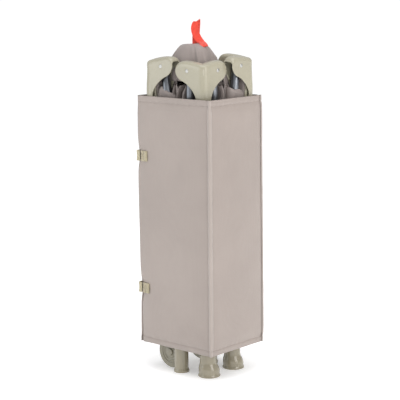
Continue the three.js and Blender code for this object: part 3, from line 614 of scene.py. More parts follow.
def panel_piece(name, origin, run, out, length, height, seed, crown, left_edge=None, right_edge=None):
    """A pad that starts at origin, runs along run and faces out. left_edge and right_edge move the
    upright ends: each takes the height from the bottom and gives a shift along the run."""
    heights = spaced(0.0, height, 1.1 * MM, 6 * MM, 30 * MM)
    columns = max(int(length / PANEL_STEP), 12)
    rings = []
    for z in heights:
        e = min(z, height - z)
        outer_line = along(HEM_OUTER, e / MM) * MM
        inner_line = along(HEM_INNER, e / MM) * MM
        middle = (outer_line + inner_line) / 2
        half = (outer_line - inner_line) / 2
        shift_low = left_edge(z) if left_edge else 0.0
        shift_high = right_edge(z) if right_edge else 0.0
        edge = min(EDGE_ROUND, half * 1.3)
        near_seam = math.exp(-abs(e - HEM) / (6 * MM))
        outer, inner = [], []
        for k in range(columns + 1):
            f = k / columns
            s = edge + f * (length - 2 * edge) + shift_low * (1 - f) ** 4 + shift_high * f ** 4
            belly = (1 - (2 * f - 1) ** 2) ** 1.25 * smooth_step(e, HEM, 36 * MM)
            swell = crown * belly * (0.75 + 0.5 * soft_noise(s, z, seed, 0.16))
            ripple = 0.5 * MM * soft_noise(s, z, seed + 3, 0.05) * belly
            pucker = 1.15 * MM * near_seam * soft_noise(s, z * 0.25, seed + 5, 0.0075)
            drawn = -0.5 * MM * near_seam * abs(soft_noise(s, 0.0, seed + 9, 0.02))
            fall = -1.7 * MM * (max(abs(2 * f - 1) - 0.74, 0.0) / 0.26) ** 2
            outer.append((s, outer_line + swell + ripple + pucker + drawn + fall))
            inner.append((s, inner_line - 0.3 * ripple + pucker * 0.4 - fall))
        ring = outer + edge_arc(outer[-1], inner[-1], edge, math.pi / 2)
        ring += inner[::-1] + edge_arc(outer[0], inner[0], edge, -math.pi / 2)
        rings.append([Vector(origin) + Vector(run) * s + Vector(out) * t + Vector((0, 0, z))
                      for s, t in ring])
    points = [stand_proud(p) for ring in rings for p in ring]
    side = len(rings[0])
    faces = skin_faces(len(rings), side)
    inner_start = columns + EDGE_STEPS
    for base in (0, (len(rings) - 1) * side):
        far = base + inner_start + columns
        faces += [(base + k, base + k + 1, far - k - 1, far - k) for k in range(columns)]
        faces.append(tuple(range(base + columns, base + inner_start + 1)))
        faces.append(tuple(range(far, base + side)) + (base,))
    pad = mesh_object(name, points, faces, MAT_NYLON)
    print(name, len(pad.data.polygons), "faces")
    return pad


# %% The four panels
(front_low, front_high), (_, right_high), (back_low, back_high), (left_low, left_high) = (
    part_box(f"mat_panel_{side}") for side in SIDES)
MAT_BASE = front_low[2]
MAT_HEIGHT = front_high[2] - front_low[2]
CORNER_REACH = 4.5 * MM
FRONT_CROWN = 4.4 * MM
RIGHT_CROWN = 3.6 * MM
HIDDEN_CROWN = 1.6 * MM
FREE_EDGE_LINE = [(0, -0.5), (100, -1.5), (180, -7.5), (420, -9.5), (560, -9.0), (600, -6.0)]


def free_edge(z):
    """The door panel's free edge stands out over the left panel, and each strap draws it in."""
    return (along(FREE_EDGE_LINE, z / MM) + 5.0 * strap_pull(z + MAT_BASE)) * MM


def left_panel_edge(z):
    """The hidden upright edge of the left panel wanders a little."""
    return -1.5 * MM * math.sin(z / (83 * MM))


mat_front = panel_piece(
    "mat_front", (front_low[0], front_low[1], MAT_BASE), (1, 0, 0), (0, -1, 0),
    front_high[0] - front_low[0] - CORNER_REACH, MAT_HEIGHT, 1, FRONT_CROWN, left_edge=free_edge)
mat_right = panel_piece(
    "mat_right", (right_high[0], front_low[1] + CORNER_REACH, MAT_BASE), (0, 1, 0), (1, 0, 0),
    right_high[1] - front_low[1] - CORNER_REACH, MAT_HEIGHT, 2, RIGHT_CROWN)
mat_back = panel_piece(
    "mat_back", (back_high[0], back_high[1], MAT_BASE), (-1, 0, 0), (0, 1, 0),
    back_high[0] - back_low[0], MAT_HEIGHT, 3, HIDDEN_CROWN)
mat_left = panel_piece(
    "mat_left", (left_low[0], left_high[1], MAT_BASE), (0, -1, 0), (-1, 0, 0),
    left_high[1] - left_low[1], MAT_HEIGHT, 4, HIDDEN_CROWN, right_edge=left_panel_edge)
for side, pad in zip(SIDES, (mat_front, mat_right, mat_back, mat_left)):
    dress(pad, "mat_door" if side == "front" else "mat_wrap", "mat_nylon", f"mat_panel_{side}")


# %% [markdown]
# ## The fold between two panels
# At a fold the cover is a plain strip of doubled nylon that turns the corner from one board to the
# next, stitched down along both sides. It is a ribbon that follows a quarter circle in plan. The
# front right fold is also the hinge of the door panel, so that ribbon is hung on neither body.

# %% Fold ribbons
FOLD_RADIUS = 4 * MM
FOLD_FLANGE = 3 * MM
FOLD_THICK = 1.1 * MM
FOLD_STEPS = 8


def fold_strip(name, corner, first_out, second_out, body_parts):
    """A ribbon round an upright corner of the wrap: first_out and second_out are the outward ways of the
    two faces that it joins."""
    first, second = Vector(first_out), Vector(second_out)
    centre = Vector(corner) - (first + second) * FOLD_RADIUS
    rows = []
    for z in spaced(0.0, MAT_HEIGHT, 1.4 * MM, 9 * MM, 26 * MM):
        e = min(z, MAT_HEIGHT - z)
        tuck = (along(HEM_OUTER, e / MM) * MM) * 0.75
        row = []
        for k in range(-2, FOLD_STEPS + 3):
            angle = min(max(k / FOLD_STEPS, 0.0), 1.0) * math.pi / 2
            radius = FOLD_RADIUS + 0.7 * MM + tuck
            radius += 0.35 * MM * soft_noise(z, angle * 0.01, 11, 0.012)
            spot = centre + (first * math.cos(angle) + second * math.sin(angle)) * radius
            if k < 0:
                spot = spot - second * (FOLD_FLANGE * -k / 2) - first * (0.55 * MM * (-k / 2) ** 2)
            if k > FOLD_STEPS:
                reach = (k - FOLD_STEPS) / 2
                spot = spot - first * (FOLD_FLANGE * reach) - second * (0.55 * MM * reach ** 2)
            row.append(spot + Vector((0, 0, z)))
        rows.append(row)
    columns = len(rows[0])
    points = [stand_proud(p) for row in rows for p in row]
    # The fold's lighter nylon is a painted highlight.
    strip = mesh_object(name, points, skin_faces(len(rows), columns, closed=False), FOLD_NYLON_PAINTED_HIGHLIGHT)
    thicken(strip, FOLD_THICK, offset=-1.0)
    settle(strip)
    if len(body_parts) == 2:
        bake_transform(strip)
    else:
        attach(strip, body_parts[0])
    return strip


folds = [
    fold_strip("fold_front_right", (right_high[0], front_low[1], MAT_BASE), (1, 0, 0), (0, -1, 0),
               ("mat_wrap", "mat_door")),
    fold_strip("fold_back_right", (right_high[0], back_high[1], MAT_BASE), (1, 0, 0), (0, 1, 0),
               ("mat_wrap",)),
    fold_strip("fold_back_left", (left_low[0], back_high[1], MAT_BASE), (0, 1, 0), (-1, 0, 0),
               ("mat_wrap",)),
]
print("folds", [len(fold.data.polygons) for fold in folds])


# %% [markdown]
# ## Closing straps
# Two short pieces of beige webbing close the wrap at its front left corner. Each is sewn to the
# door panel and turns the corner to the left panel, where hook tape holds it. The ribbon is lofted
# along its path with a thin oval section, so that its edges look woven and not cut. A stitched box
# holds the sewn end.

# %% Ribbons along a path
BAND_HALF = [(-0.5, 0.0), (-0.485, 0.38), (-0.44, 0.5), (-0.25, 0.47), (0.0, 0.46), (0.25, 0.47),
             (0.44, 0.5), (0.485, 0.38)]
BAND_SECTION = BAND_HALF + [(-w, -t) for w, t in BAND_HALF]


def ribbon(name, path, across, width, thick, material, twist=None, slack=0.0, lift=None):
    """A woven band: path is a list of points, across the way of its width at every point. twist gives the
    way of the width point by point, and lift raises one edge and lowers the other."""
    rings = []
    count = len(path)
    for i, spot in enumerate(path):
        ahead = Vector(path[min(i + 1, count - 1)]) - Vector(path[max(i - 1, 0)])
        ahead.normalize()
        wide = Vector(twist[i]) if twist else Vector(across)
        wide = (wide - ahead * wide.dot(ahead)).normalized()
        normal = ahead.cross(wide).normalized()
        ring = []
        wander = slack * soft_noise(i * 3 * MM, 0.0, 21, 0.012)
        for w, t in BAND_SECTION:
            raised = Vector((0, 0, lift[i] * w * width if lift else 0.0))
            ring.append(Vector(spot) + wide * (w * width + wander) + normal * (t * thick) + raised)
        rings.append(ring)
    return loft(name, rings, material)


STITCH_PITCH = 2.6 * MM
STITCH_SIZE = 0.45 * MM


def stitch_line(name, start, end, out):
    """Short raised stitches from start to end: one small rounded thread loop for each."""
    start, end, out = Vector(start), Vector(end), Vector(out).normalized()
    run = end - start
    count = max(int(run.length / STITCH_PITCH), 1)
    ahead = run.normalized()
    side = ahead.cross(out)
    points, faces = [], []
    for i in range(count):
        middle = start + run * ((i + 0.5) / count)
        base = len(points)
        for k in range(5):
            f = k / 4 - 0.5
            swell = math.sqrt(max(1 - (2 * f) ** 2, 0.05))
            spot = middle + ahead * (f * STITCH_PITCH * 0.8) + out * (STITCH_SIZE * (0.4 * swell - 0.15))
            for j in range(6):
                a = 2 * math.pi * j / 6
                points.append(spot + (side * math.cos(a) + out * math.sin(a)) * STITCH_SIZE * 0.5 * swell)
        faces += skin_faces(5, 6, start=base)
        faces.append(tuple(base + j for j in reversed(range(6))))
        faces.append(tuple(base + 24 + j for j in range(6)))
    return mesh_object(name, points, faces, THREAD)


# %% The two straps
STRAP_THICK = 2 * MM
STRAP_BEND = 4 * MM
STITCH_INSET = 2 * MM


def closing_strap(label):
    patch_low, patch_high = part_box(f"strap_patch_{label}")
    hook_low, hook_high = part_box(f"closing_strap_{label}")
    middle = (patch_low[2] + patch_high[2]) / 2
    width = patch_high[2] - patch_low[2]
    face_y = patch_low[1] + STRAP_THICK / 2 + 0.2 * MM
    side_x = hook_low[0] + STRAP_THICK / 2
    bend = STRAP_BEND
    sewn = [(x, face_y - 0.5 * MM * math.sin(math.pi * f), middle)
            for f, x in ((k / 8, patch_high[0] + (patch_low[0] - patch_high[0]) * k / 8) for k in range(9))]
    patch = ribbon(f"strap_sewn_{label}", sewn, (0, 0, 1), width, STRAP_THICK, WEBBING)
    fold = [(patch_high[0] - back * MM, face_y - proud * MM, middle)
            for back, proud in ((0.4, 1.1), (5, 1.5), (8.5, 1.3))]
    turn_in = ribbon(f"strap_fold_{label}", fold, (0, 0, 1), width - 0.6 * MM, STRAP_THICK * 0.8, WEBBING)
    path = [(hook_high[0] + (side_x + bend - hook_high[0]) * k / 6, face_y - 0.5 * MM, middle)
            for k in range(7)]
    path += [(side_x + bend - bend * math.sin(a), face_y - 0.5 * MM + bend - bend * math.cos(a), middle)
             for a in (math.pi / 2 * k / 8 for k in range(1, 9))]
    turned_y = path[-1][1]
    path += [(side_x - 0.8 * MM * math.sin(math.pi * k / 8),
              turned_y + (hook_high[1] - turned_y) * k / 8, middle) for k in range(1, 9)]
    hook = ribbon(f"strap_hook_{label}", path, (0, 0, 1), width, STRAP_THICK, WEBBING, slack=0.3 * MM)
    stitch_y = face_y - STRAP_THICK / 2 - 0.75 * MM
    left, right = patch_low[0] + STITCH_INSET, patch_high[0] - STITCH_INSET - 8 * MM
    low, high = middle - width / 2 + STITCH_INSET, middle + width / 2 - STITCH_INSET
    corners = [(left, low), (right, low), (right, high), (left, high)]
    runs = list(zip(corners, corners[1:] + corners[:1]))
    runs += [(corners[0], corners[2]), (corners[1], corners[3])]
    sewn_rows = [stitch_line(f"strap_stitch_{label}_{k}", (x0, stitch_y, z0), (x1, stitch_y, z1),
                             (0, -1, 0)) for k, ((x0, z0), (x1, z1)) in enumerate(runs)]
    for piece in [patch, turn_in, hook] + sewn_rows:
        for vertex in piece.data.vertices:
            vertex.co = stand_proud(vertex.co)
    for stitches in sewn_rows:
        dress(stitches, "mat_door", "webbing")
    dress(patch, "mat_door", "webbing", f"strap_patch_{label}")
    dress(turn_in, "mat_door", "webbing")
    dress(hook, f"strap_{label}", "webbing", f"closing_strap_{label}")
    return hook


straps = [closing_strap(label) for label in ("upper", "lower")]
print("straps", [len(s.data.polygons) for s in straps])


# %% [markdown]
# ## Corner brackets
# A corner bracket is one moulding: a square sleeve that takes the corner post, and two hollow
# wings, each an upside-down channel in which a half rail swings on its rivet. Its outer skin runs
# without a step from one wing, round the corner, to the other wing. So it is drawn as one grid:
# across the grid the section of the channel, along the grid an L-shaped path with a rounded corner.
# The grid is then thickened to the wall, and one level of subdivision rounds the hem as a mould
# does.

# %% Bracket sizes
POST_RADIUS = 9 * MM
POST_WALL = 1.5 * MM
SLEEVE_HALF = 11 * MM
SLEEVE_LENGTH = 150 * MM
WING_LONG = 87 * MM
WING_SHORT = 77 * MM
WING_WIDTH = 27 * MM
WING_WALL = 2.2 * MM
WING_ROUND = 9.5 * MM
CORNER_ROUND = 16 * MM
LEAST_BEND = 0.8 * MM
LOBE_RISE = 6 * MM
ROOF_TO_POST = 15 * MM
RIVET_LONG = 50 * MM
RIVET_SHORT = 46 * MM
RIVET_DROP = 21 * MM
RIVET_HEAD = 4.5 * MM
RIVET_DOME = [(0.05 * MM, 1.6), (1.8 * MM, 1.5), (3.2 * MM, 1.1), (4.2 * MM, 0.5),
              (RIVET_HEAD, -0.1), (RIVET_HEAD, -0.4), (2.4 * MM, -0.5)]
TONGUE_DROP = 69 * MM
TONGUE_PIN = [(0.05 * MM, 1.2 * MM), (1.8 * MM, 1.1 * MM), (2.8 * MM, 0.5 * MM),
              (2.8 * MM, -2.6 * MM), (0.05 * MM, -2.7 * MM)]


def tube_ends(node):
    """The middle points of both ends of a round bar, low end first."""
    points = np.array([v.co[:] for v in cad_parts[node].data.vertices])
    centre = points.mean(axis=0)
    axis = np.linalg.svd(points - centre)[2][0]
    axis = axis if axis[2] > 0 else -axis
    for _ in range(3):
        reach = (points - centre) @ axis
        low = points[reach < reach.min() + 0.3 * MM].mean(axis=0)
        high = points[reach > reach.max() - 0.3 * MM].mean(axis=0)
        axis = (high - low) / np.linalg.norm(high - low)
    return Vector(low), Vector(high)


def corner_matrix(corner):
    """The bracket's own frame: post on Z, top of the wings at z = 0, wings along +X and +Y."""
    low, high = tube_ends(f"post_tube_{corner}")
    axis = (high - low).normalized()
    top = high + axis * (LOBE_RISE + ROOF_TO_POST)
    turn = Matrix.Rotation(CORNERS[corner] * math.pi / 2, 4, "Z")
    return Matrix.Translation(top) @ lean_to(axis) @ turn


def wing_lengths(corner):
    return (WING_SHORT, WING_LONG) if CORNERS[corner] % 2 else (WING_LONG, WING_SHORT)


# %% The bracket skin
def wing_top(t):
    """Height of the wing's roof: low over the corner, highest past the middle, round at its end."""
    rise = -LOBE_RISE * (1 - math.sin(math.pi / 2 * min(t / 0.68, 1)))
    end = min(max((t - 0.74) / 0.26, 0.0), 1.0)
    return rise - 15 * MM * (1 - math.sqrt(1 - end ** 2)) * 0.85


OUTER_HEM = [(0.0, -150), (0.252, -150), (0.262, -104), (0.29, -86), (0.36, -72.5), (0.44, -64),
             (0.52, -58), (0.60, -52.5), (0.70, -48), (0.80, -45), (0.88, -41), (0.94, -36),
             (0.98, -30), (1.0, -24)]
INNER_HEM = [(0.0, -93), (0.34, -80), (0.44, -76), (0.50, -74), (0.55, -76), (0.60, -75.5),
             (0.65, -70), (0.72, -57), (0.80, -48), (0.88, -41), (0.94, -36), (0.98, -30),
             (1.0, -24)]


def bracket_section(t_outer, t_inner):
    """[offset from the outer face, height] points from the outer hem, over the roof, to the inner hem."""
    top = wing_top(t_outer)
    hem_outer = along(OUTER_HEM, t_outer) * MM
    hem_inner = along(INNER_HEM, t_inner) * MM
    side_steps, arc_steps = 12, 5
    shoulder = top - WING_ROUND
    turns = [math.pi / 2 * k / arc_steps for k in range(arc_steps + 1)]
    section = [(0.0, hem_outer + (shoulder - hem_outer) * (k / side_steps)) for k in range(side_steps)]
    section += [(WING_ROUND * (1 - math.cos(a)), shoulder + WING_ROUND * math.sin(a)) for a in turns]
    section += [(WING_WIDTH - WING_ROUND * (1 - math.sin(a)), shoulder + WING_ROUND * math.cos(a))
                for a in turns]
    section += [(WING_WIDTH, shoulder + (hem_inner - shoulder) * (k / side_steps))
                for k in range(1, side_steps + 1)]
    return section


def bracket_point(along_wing, offset, length, second):
    """A point of the skin in the bracket's frame. along_wing runs from 0 at the corner round to 1."""
    bend = max(CORNER_ROUND - offset, LEAST_BEND)
    centre = -SLEEVE_HALF + offset + bend
    far = length - SLEEVE_HALF
    x = centre + along_wing * (far - centre)
    y = -SLEEVE_HALF + offset
    return (y, x) if second else (x, y)


HEAD_FLARE = 2.6 * MM
SLEEVE_FLARE = {"front_left": 6 * MM, "front_right": 1.5 * MM, "back_right": 4 * MM, "back_left": 4 * MM}


def flare(corner, offset, z):
    """How far the outer face stands out from the sleeve: most just above the mat, none lower down."""
    out = HEAD_FLARE + SLEEVE_FLARE[corner] * smooth_step(-z, 10 * MM, 90 * MM)
    return out * (1 - smooth_step(-z, 94 * MM, 138 * MM)) * (1 - offset / WING_WIDTH) ** 2


def wing_row(corner, q, length, second):
    """The row of the skin at q of a wing's length, from 0 at the corner round to 1 at the free end."""
    probe = bracket_point(q, WING_WIDTH, length, False)[0]
    row = []
    for offset, z in bracket_section((CORNER_ROUND + q * (length - CORNER_ROUND)) / length,
                                     (probe + SLEEVE_HALF) / length):
        x, y = bracket_point(q, offset, length, second)
        out = flare(corner, offset, z)
        row.append((x - out, y - out * (1 - q), z) if second else (x - out * (1 - q), y - out, z))
    return row


def bend_row(corner, angle, length):
    """A row of the skin in the rounded corner between the wings."""
    row = []
    for offset, z in bracket_section(CORNER_ROUND / length * 0.9, WING_WIDTH / length):
        bend = max(CORNER_ROUND - offset, LEAST_BEND)
        centre = -SLEEVE_HALF + offset + bend
        out = flare(corner, offset, z)
        row.append((centre - bend * math.sin(angle) - out, centre - bend * math.cos(angle) - out, z))
    return row


def bracket_skin(corner):
    place = corner_matrix(corner)
    wing_a, wing_b = wing_lengths(corner)
    steps, bend_steps = 26, 7
    spread = [1 - (1 - k / steps) ** 0.9 for k in range(steps + 1)]
    rows = [wing_row(corner, q, wing_a, False) for q in reversed(spread)]
    rows += [bend_row(corner, math.pi / 2 * k / bend_steps, wing_b) for k in range(1, bend_steps)]
    rows += [wing_row(corner, q, wing_b, True) for q in spread]
    points = [place @ Vector(p) for row in rows for p in row]
    skin = mesh_object(f"bracket_{corner}_shell", points, skin_faces(len(rows), len(rows[0]), closed=False),
                       BRACKET_PLASTIC)
    return skin, place, (wing_a, wing_b)


def rounded_square(half, radius, z, steps=4):
    ring = []
    for cx, cy, start in ((1, -1, -90), (1, 1, 0), (-1, 1, 90), (-1, -1, 180)):
        for k in range(steps + 1):
            a = math.radians(start + 90 * k / steps)
            ring.append((cx * (half - radius) + radius * math.cos(a),
                         cy * (half - radius) + radius * math.sin(a), z))
    return ring


def bracket_sleeve(corner, place):
    """The inside of the sleeve: a square tube round the post, just inside the outer skin."""
    half = SLEEVE_HALF - 0.7 * MM
    bore = POST_RADIUS + 0.5 * MM
    levels = [(-SLEEVE_LENGTH, half - 0.6 * MM), (-SLEEVE_LENGTH + 1.2 * MM, half), (-90 * MM, half),
              (-LOBE_RISE - 8 * MM, half)]
    rings = [[place @ Vector(p) for p in rounded_square(h, 4 * MM, z)] for z, h in levels]
    count = len(rings[0])
    angles = [2 * math.pi * (k + 0.5) / count - math.pi / 2 for k in range(count)]
    for z in (-LOBE_RISE - 8 * MM, -SLEEVE_LENGTH):
        rings.append([place @ Vector((bore * math.cos(a), bore * math.sin(a), z)) for a in angles])
    return loft(f"bracket_{corner}_sleeve", rings, BRACKET_PLASTIC, closed_loop=True)


# %% Rivets
def rivet_piece(name, place, stand_out, node):
    """A domed rivet across a wing, along the place's own Z axis. stand_out is how far the wing's faces
    stand off at the low and the high end."""
    low_reach, high_reach = (WING_WIDTH / 2 + out + 0.2 * MM for out in stand_out)
    low_side = [(r, -low_reach - z * MM) for r, z in RIVET_DOME]
    high_side = [(r, high_reach + z * MM) for r, z in reversed(RIVET_DOME)]
    rivet = turned(name, low_side + high_side, 24, place, RIVET_STEEL)
    return dress(rivet, "frame", "rivet_steel", node)


def wing_place(place, wing, reach, drop):
    """A place in the middle of a wing, reach away from the post, with its Z axis across the wing."""
    middle = -SLEEVE_HALF + WING_WIDTH / 2
    spot = (reach, middle, -drop) if wing == "a" else (middle, reach, -drop)
    return place @ Matrix.Translation(spot) @ Matrix.Rotation(math.pi / 2, 4, "X" if wing == "a" else "Y")


def build_corner(corner):
    skin, place, lengths = bracket_skin(corner)
    thicken(skin, WING_WALL, offset=-1.0, levels=1)
    dress(skin, "frame", "moulded_plastic", f"bracket_{corner}")
    sleeve = bracket_sleeve(corner, place)
    dress(sleeve, "frame", "moulded_plastic")
    out = flare(corner, 0.0, -RIVET_DROP)
    for wing, length in zip("ab", lengths):
        reach = (RIVET_LONG if length == WING_LONG else RIVET_SHORT) - SLEEVE_HALF
        rivet_piece(f"rivet_{corner}_{wing}", wing_place(place, wing, reach, RIVET_DROP),
                    (0.0, out) if wing == "a" else (out, 0.0), f"rail_rivet_{corner}_{wing}")
        inward = Matrix.Rotation(math.pi if wing == "a" else 0.0, 4, "X")
        tongue = wing_place(place, wing, 0.57 * length - SLEEVE_HALF, TONGUE_DROP) @ inward
        pin = turned(f"tongue_rivet_{corner}_{wing}", TONGUE_PIN, 16,
                     tongue @ Matrix.Translation((0, 0, WING_WIDTH / 2 + 0.4 * MM)), RIVET_STEEL)
        dress(pin, "frame", "rivet_steel")
    return skin


brackets = [build_corner(corner) for corner in CORNERS]
print("brackets", [len(b.data.polygons) for b in brackets])


# %% [markdown]
# ## Tubes
# The rails, posts and spokes are drawn steel tube. A tube is a ring swept between the two ends that
# the model gives, with its wall turned in at the ends, fine enough that its highlight runs
# straight.

# %% Tubes
RAIL_RADIUS = 10 * MM
RAIL_WALL = 1.5 * MM
SPOKE_RADIUS = 5 * MM
TUBE_LIP = 0.5 * MM
TUBE_SIDES = 40


def tube_piece(name, node, radius, wall):
    low, high = tube_ends(node)
    length = (high - low).length
    profile = [(radius - TUBE_LIP, 0.0), (radius, TUBE_LIP)]
    profile += [(radius, length * f) for f in (0.25, 0.5, 0.75)]
    profile += [(radius, length - TUBE_LIP), (radius - TUBE_LIP, length)]
    if wall:
        profile += [(radius - wall, length * f) for f in (1, 0.5, 0)]
    place = Matrix.Translation(low) @ lean_to((high - low).normalized())
    tube = turned(name, profile, TUBE_SIDES, place, TUBE_STEEL, closed_loop=bool(wall))
    return dress(tube, "frame", "steel_tube", node)


for corner in CORNERS:
    tube_piece(f"post_{corner}", f"post_tube_{corner}", POST_RADIUS, POST_WALL)
    tube_piece(f"spoke_{corner}", f"base_spoke_{corner}", SPOKE_RADIUS, 0.0)
for side in SIDES:
    for end in "ab":
        tube_piece(f"rail_{side}_{end}", f"half_rail_{side}_{end}", RAIL_RADIUS, RAIL_WALL)
print("tubes ready")


# %% [markdown]
# ## Feet
# Two corners stand on a bell-shaped foot: a broad rim, a full body, a rounded shoulder on one side
# and a neck that runs up into the mat. The foot is a stack of rings whose middle moves from the
# foot's own axis to the axis of the leaning post, so that it meets the post. The other two feet are
# pods that hold a wheel.

# %% Bell feet
BELL = [(0.5, 1.2), (20, 0.4), (25.6, 0.1), (26.8, 0.9), (27, 2.6), (26.5, 4.3), (25.6, 5.6),
        (25.3, 8), (25.2, 14), (24.9, 18), (24.2, 22), (23, 25.6), (21.8, 28.4), (20.9, 31),
        (20.3, 34), (20, 38), (19.8, 46), (19.2, 54), (17.6, 72), (16, 96), (14.4, 117),
        (13.6, 123), (12.4, 125), (9.6, 125), (9.5, 110)]
NECK_SHIFT = Vector((-1.9, -1.7, 0)) * MM


def post_axis_at(corner, height):
    low, high = tube_ends(f"post_tube_{corner}")
    return low + (high - low) * ((height - low.z) / (high.z - low.z))


def bell_foot(corner):
    rim_points = [v.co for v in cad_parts[f"foot_{corner}"].data.vertices if v.co.z < 1 * MM]
    middle = Vector((sum(p.x for p in rim_points), sum(p.y for p in rim_points), 0)) / len(rim_points)
    rings = []
    for radius, height in BELL:
        f = smooth_step(height, 55, 120)
        bent = smooth_step(height, 10, 36) * (1 - f)
        target = post_axis_at(corner, height * MM)
        centre = middle.lerp(Vector((target.x, target.y, 0)), f) + NECK_SHIFT * bent
        rings.append(circle(radius * MM, height * MM, 48, centre.x, centre.y))
    foot = loft(f"bell_foot_{corner}", rings, FOOT_PLASTIC)
    return dress(foot, "frame", "foot_plastic", f"foot_{corner}")


bell_feet = [bell_foot(corner) for corner in ("front_right", "back_right")]
print("bell feet", [len(f.data.polygons) for f in bell_feet])


# %% [markdown]
# ## Castor wheels
# Each wheel is a turned disc: a raised hub, a shallow dish with one ring, and a rounded tread.
# Turning a profile round the axle gives all of it at once, and its rings catch thin bright lines.

# %% Wheels
WHEEL_SIDE = [(13.2, 6.5), (14.2, 5.6), (14.8, 4.9), (19.6, 4.7), (20.2, 5.4), (21.0, 5.8),
              (21.8, 5.4), (22.4, 4.7), (26.2, 4.7), (26.8, 5.9), (27.8, 6.5), (30.6, 6.5),
              (31.2, 6.0), (31.8, 6.5), (35.4, 6.45), (37.4, 5.9), (39.0, 4.4), (39.8, 2.4),
              (40.0, 0.9)]


def castor_wheel(corner, body):
    node = f"wheel_{corner}"
    centre = middle_of(node)
    reach = [math.hypot(v.co.x - centre.x, v.co.z - centre.z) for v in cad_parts[node].data.vertices]
    bore = min(reach) + 0.05 * MM
    profile = [(bore, 6.3 * MM), (bore + 0.4 * MM, 6.5 * MM)] + [(r * MM, z * MM) for r, z in WHEEL_SIDE]
    profile += [(r, -z) for r, z in reversed(profile)]
    place = Matrix.Translation(centre) @ Matrix.Rotation(math.pi / 2, 4, "X")
    wheel = turned(f"castor_{corner}", profile, 72, place, WHEEL_PLASTIC, closed_loop=True)
    return dress(wheel, body, "wheel_rubber", node)


wheels = [castor_wheel("front_left", "wheel_front"), castor_wheel("back_left", "wheel_back")]
print("wheels", [len(w.data.polygons) for w in wheels])


# %% [markdown]
# ## Gathered floor lining
# The folding floor is lined with thin nylon. When the hub is pulled up, the lining stands as a soft
# dome with its spare cloth in folds that run out from the pull strap. The dome is one sheet: rings
# from the top down, each pushed in and out by folds of uneven width that grow deeper towards the
# hem.

# %% Lining dome
# The pull strap's face looks along the band's way, and the dome's top rises a little along it too.
BAND_X, BAND_Y = 0.743, 0.669
BAND_FACE = Vector((BAND_X, BAND_Y, 0))
BAND_LEAN = Vector((-BAND_Y, BAND_X, 0))
DOME_PROFILE = [(0.0, 786.0), (0.1, 786.2), (0.25, 786.4), (0.38, 786.2), (0.5, 784.8),
                (0.6, 781.5), (0.69, 775.5), (0.78, 767), (0.86, 757), (0.92, 747), (0.965, 737),
                (1.0, 726), (1.01, 715), (1.0, 706), (0.98, 700.5)]
DOME_FOLDS = [(-40, 7, 3.0, 0.15), (-55, 7, -2.6, 0.25), (-67, 6, 1.6, 0.3), (-82, 8, -3.2, 0.3),
              (-100, 11, 4.4, 0.45), (-116, 6, -3.0, 0.4), (-130, 9, 2.6, 0.3),
              (-148, 7, -2.6, 0.2), (-166, 12, 3.0, 0.25), (-24, 6, -2.0, 0.3), (-9, 10, 2.4, 0.35),
              (8, 7, -3.0, 0.25), (26, 12, 3.2, 0.4), (47, 7, -2.4, 0.3), (62, 8, 2.2, 0.2),
              (80, 7, -3.0, 0.3), (98, 13, 3.4, 0.35), (120, 7, -2.6, 0.2), (138, 9, 2.2, 0.3),
              (157, 8, -2.2, 0.3), (176, 7, 1.2, 0.3)]


def dome_fold(angle, s):
    """The sum of the folds at one angle: each has its own place, width, height and start."""
    total = 0.0
    for degrees, width, height, start in DOME_FOLDS:
        away = (math.degrees(angle) - degrees - 9 * math.sin(3 * s + degrees) + 180) % 360 - 180
        bulge = 1.5 * height * math.exp(-(away / (width * (0.75 + 0.35 * s))) ** 2)
        total += bulge * smooth_step(s, start, start + 0.4)
    return total


def build_dome():
    low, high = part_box("floor_cloth")
    centre = middle_of("floor_cloth")
    half_x = (high[0] - low[0]) / 2 - 0.5 * MM
    half_y = (high[1] - low[1]) / 2 - 0.5 * MM
    rows, columns = 54, 200
    steps = [i / (len(DOME_PROFILE) - 1) for i in range(len(DOME_PROFILE))]
    radius_of = list(zip(steps, [u for u, _ in DOME_PROFILE]))
    height_of = list(zip(steps, [z for _, z in DOME_PROFILE]))
    rings = []
    for r in range(1, rows + 1):
        s = r / rows
        ring = []
        for c in range(columns):
            a = 2 * math.pi * c / columns
            fold = dome_fold(a, s) * MM
            reach = along(radius_of, s)
            square = 2 / (2 + 1.3 * smooth_step(s, 0.15, 0.7))
            wide_x = math.copysign(abs(math.cos(a)) ** square, math.cos(a))
            wide_y = math.copysign(abs(math.sin(a)) ** square, math.sin(a))
            x = centre.x + half_x * reach * wide_x + fold * math.cos(a)
            y = centre.y + half_y * reach * wide_y + fold * math.sin(a)
            dent = 2.2 * soft_noise(x, y, 31, 0.02)
            dent *= smooth_step(s, 0.05, 0.2) * (1 - smooth_step(s, 0.5, 0.9))
            tilt = 2.0 * (BAND_X * (x - centre.x) + BAND_Y * (y - centre.y)) / half_x * (1 - s)
            ring.append((x, y, (along(height_of, s) + dent + tilt + 1.6) * MM))
        rings.append(ring)
    dome = loft("lining_dome", rings, LINING, caps=False)
    thicken(dome, 1.2 * MM, offset=-1.0, levels=1)
    settle(dome)
    return dress(dome, "frame", "lining_nylon", "floor_cloth")


dome = build_dome()
dome_area = sum(face.area for face in dome.data.polygons) / 2
print("dome area", round(dome_area, 4))


# %% [markdown]
# ## Gathered side lining
# Below the dome the cloth of the four sides is packed into the gaps between the corners. Each
# bundle is one sheet that goes back and forth in rounded folds. The route is a smooth curve in
# plan, carried upwards, and the folds lean, open and close a little on the way up, as bunched cloth
# does.

# %% Side bundles
FOLD_ROUTE = [(0.0, 0.30), (0.05, 0.86), (0.16, 0.98), (0.22, 0.5), (0.27, 0.12), (0.36, 0.2),
              (0.40, 0.7), (0.47, 0.96), (0.55, 0.75), (0.58, 0.25), (0.66, 0.06), (0.72, 0.4),
              (0.76, 0.86), (0.86, 1.0), (0.92, 0.7), (1.0, 0.2)]


